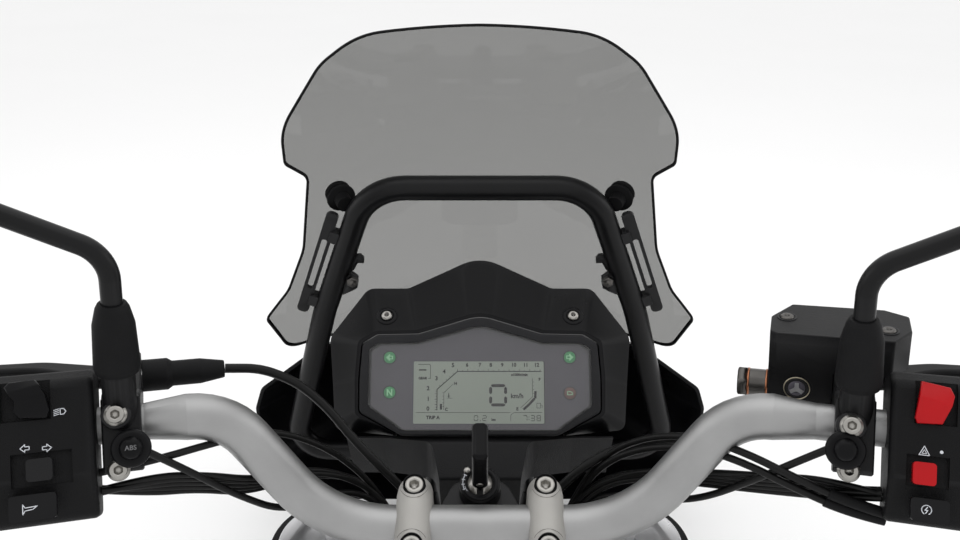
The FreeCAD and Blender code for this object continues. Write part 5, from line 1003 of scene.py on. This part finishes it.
LOOSE_CABLES = {
    "button_wire_left": (2.3, [
        (-199, -42, 93), (-179, -30, 69), (-157, -12, 36), (-132, 8, 6), (-108, 32, 2), (-86, 47, -8),
        (-70, 52, -28), (-61, 54, -50),
    ]),
    "second_cable_left": (2.3, [
        (-227, -45, 77), (-197, -36, 79), (-165, -12, 76), (-139, 20, 64), (-112, 44, 36), (-88, 56, 5),
        (-70, 57, -25), (-60, 58, -52),
    ]),
    "button_wire_right": (2.3, [
        (207, -42, 94), (189, -34, 77), (173, -24, 58), (143, 6, 16), (113, 32, 0), (88, 46, -10),
        (70, 52, -30), (61, 54, -52),
    ]),
    "throttle_cable_open": (2.4, [
        (239, -55, 51), (220, -50, 53), (192, -40, 61), (161, -18, 67), (137, 10, 58), (110, 36, 38),
        (86, 52, 12), (70, 57, -22), (61, 59, -50),
    ]),
    "throttle_cable_close": (2.4, [
        (241, -58, 57), (221, -52, 60), (193, -41, 68), (162, -18, 74), (138, 12, 65), (112, 40, 44),
        (88, 57, 16), (72, 61, -18), (62, 62, -48),
    ]),
}
for name, (radius, points) in LOOSE_CABLES.items():
    smooth_line(name, points, radius, SHEATH, "steering")

SLEEVE_RADIUS = 3.3
for name in ("throttle_cable_open", "throttle_cable_close"):
    start, bend, after = LOOSE_CABLES[name][1][:3]
    middle = tuple((one + other) / 2 for one, other in zip(bend, after))
    smooth_line(f"{name}_sleeve", [start, bend, middle], SLEEVE_RADIUS, RUBBER, "steering")

# Floor, in metres from here on

FLOOR_REACH = 40.0
CORNERS = (-1, -1), (1, -1), (1, 1), (-1, 1)
floor_level = cad_box[0][2]
floor_mesh = bpy.data.meshes.new("floor")
floor_corners = [(x * FLOOR_REACH, y * FLOOR_REACH, floor_level) for x, y in CORNERS]
floor_mesh.from_pydata(floor_corners, [], [(0, 1, 2, 3)])
floor_finish = surface("pale_floor", (0.93, 0.93, 0.93), 0.95, mottle=0.005, mottle_scale=2, specular=0.1)
floor = put("floor", floor_mesh, floor_finish)

# Light: an even world, plain white to the camera, through glass and in reflections, and three lamps

WHITE = (1, 1, 1, 1)
WORLD_LIGHT, SEEN_LIGHT = 0.98, 1.0
world = bpy.data.worlds.new("studio")
bpy.context.scene.world = world
world.use_nodes = True
sky = world.node_tree
soft = sky.nodes["Background"]
bright = sky.nodes.new("ShaderNodeBackground")
for background, strength in ((soft, WORLD_LIGHT), (bright, SEEN_LIGHT)):
    background.inputs["Color"].default_value = WHITE
    background.inputs["Strength"].default_value = strength
rays = sky.nodes.new("ShaderNodeLightPath")
seen = rays.outputs["Is Camera Ray"]
for ray in ("Is Transmission Ray", "Is Glossy Ray"):
    either = sky.nodes.new("ShaderNodeMath")
    either.operation = "MAXIMUM"
    sky.links.new(seen, either.inputs[0])
    link(sky, rays, ray, either, 1)
    seen = either.outputs["Value"]
choose = sky.nodes.new("ShaderNodeMixShader")
sky.links.new(seen, choose.inputs[0])
link(sky, soft, "Background", choose, 1)
link(sky, bright, "Background", choose, 2)
link(sky, choose, "Shader", sky.nodes["World Output"], "Surface")

# Each lamp: its place, what it aims at, its width and its power
STUDIO_LAMPS = {
    "soft_above": ((0, 0.3, 1.8), (0, 0.1, 0.2), 1.8, 7),
    "soft_left": ((-1.8, 0.2, 1.0), (0, 0.1, 0.2), 1.0, 3),
    "soft_right": ((1.8, 0.2, 1.0), (0, 0.1, 0.2), 1.0, 3),
}
for name, (spot, aim, width, power) in STUDIO_LAMPS.items():
    light = bpy.data.lights.new(name, "AREA")
    light.shape = "SQUARE"
    light.size = width
    light.energy = power
    lamp = bpy.data.objects.new(name, light)
    bpy.context.collection.objects.link(lamp)
    lamp.location = spot
    lamp.rotation_euler = (Vector(aim) - Vector(spot)).to_track_quat("-Z", "Y").to_euler()

# Camera at the rider's eyes

SENSOR_WIDTH, FOCAL_LENGTH, NEAREST = 36, 33.56, 0.01
CAMERA_SPOT = 0, -0.5292, 0.5777
CAMERA_TILT = 66
camera_data = bpy.data.cameras.new("camera")
camera_data.sensor_width = SENSOR_WIDTH
camera_data.lens = FOCAL_LENGTH
camera_data.clip_start = NEAREST
camera = bpy.data.objects.new("camera", camera_data)
bpy.context.collection.objects.link(camera)
camera.location = CAMERA_SPOT
camera.rotation_euler = (math.radians(CAMERA_TILT), 0, 0)
bpy.context.scene.camera = camera
bpy.context.scene.view_settings.view_transform = "Standard"
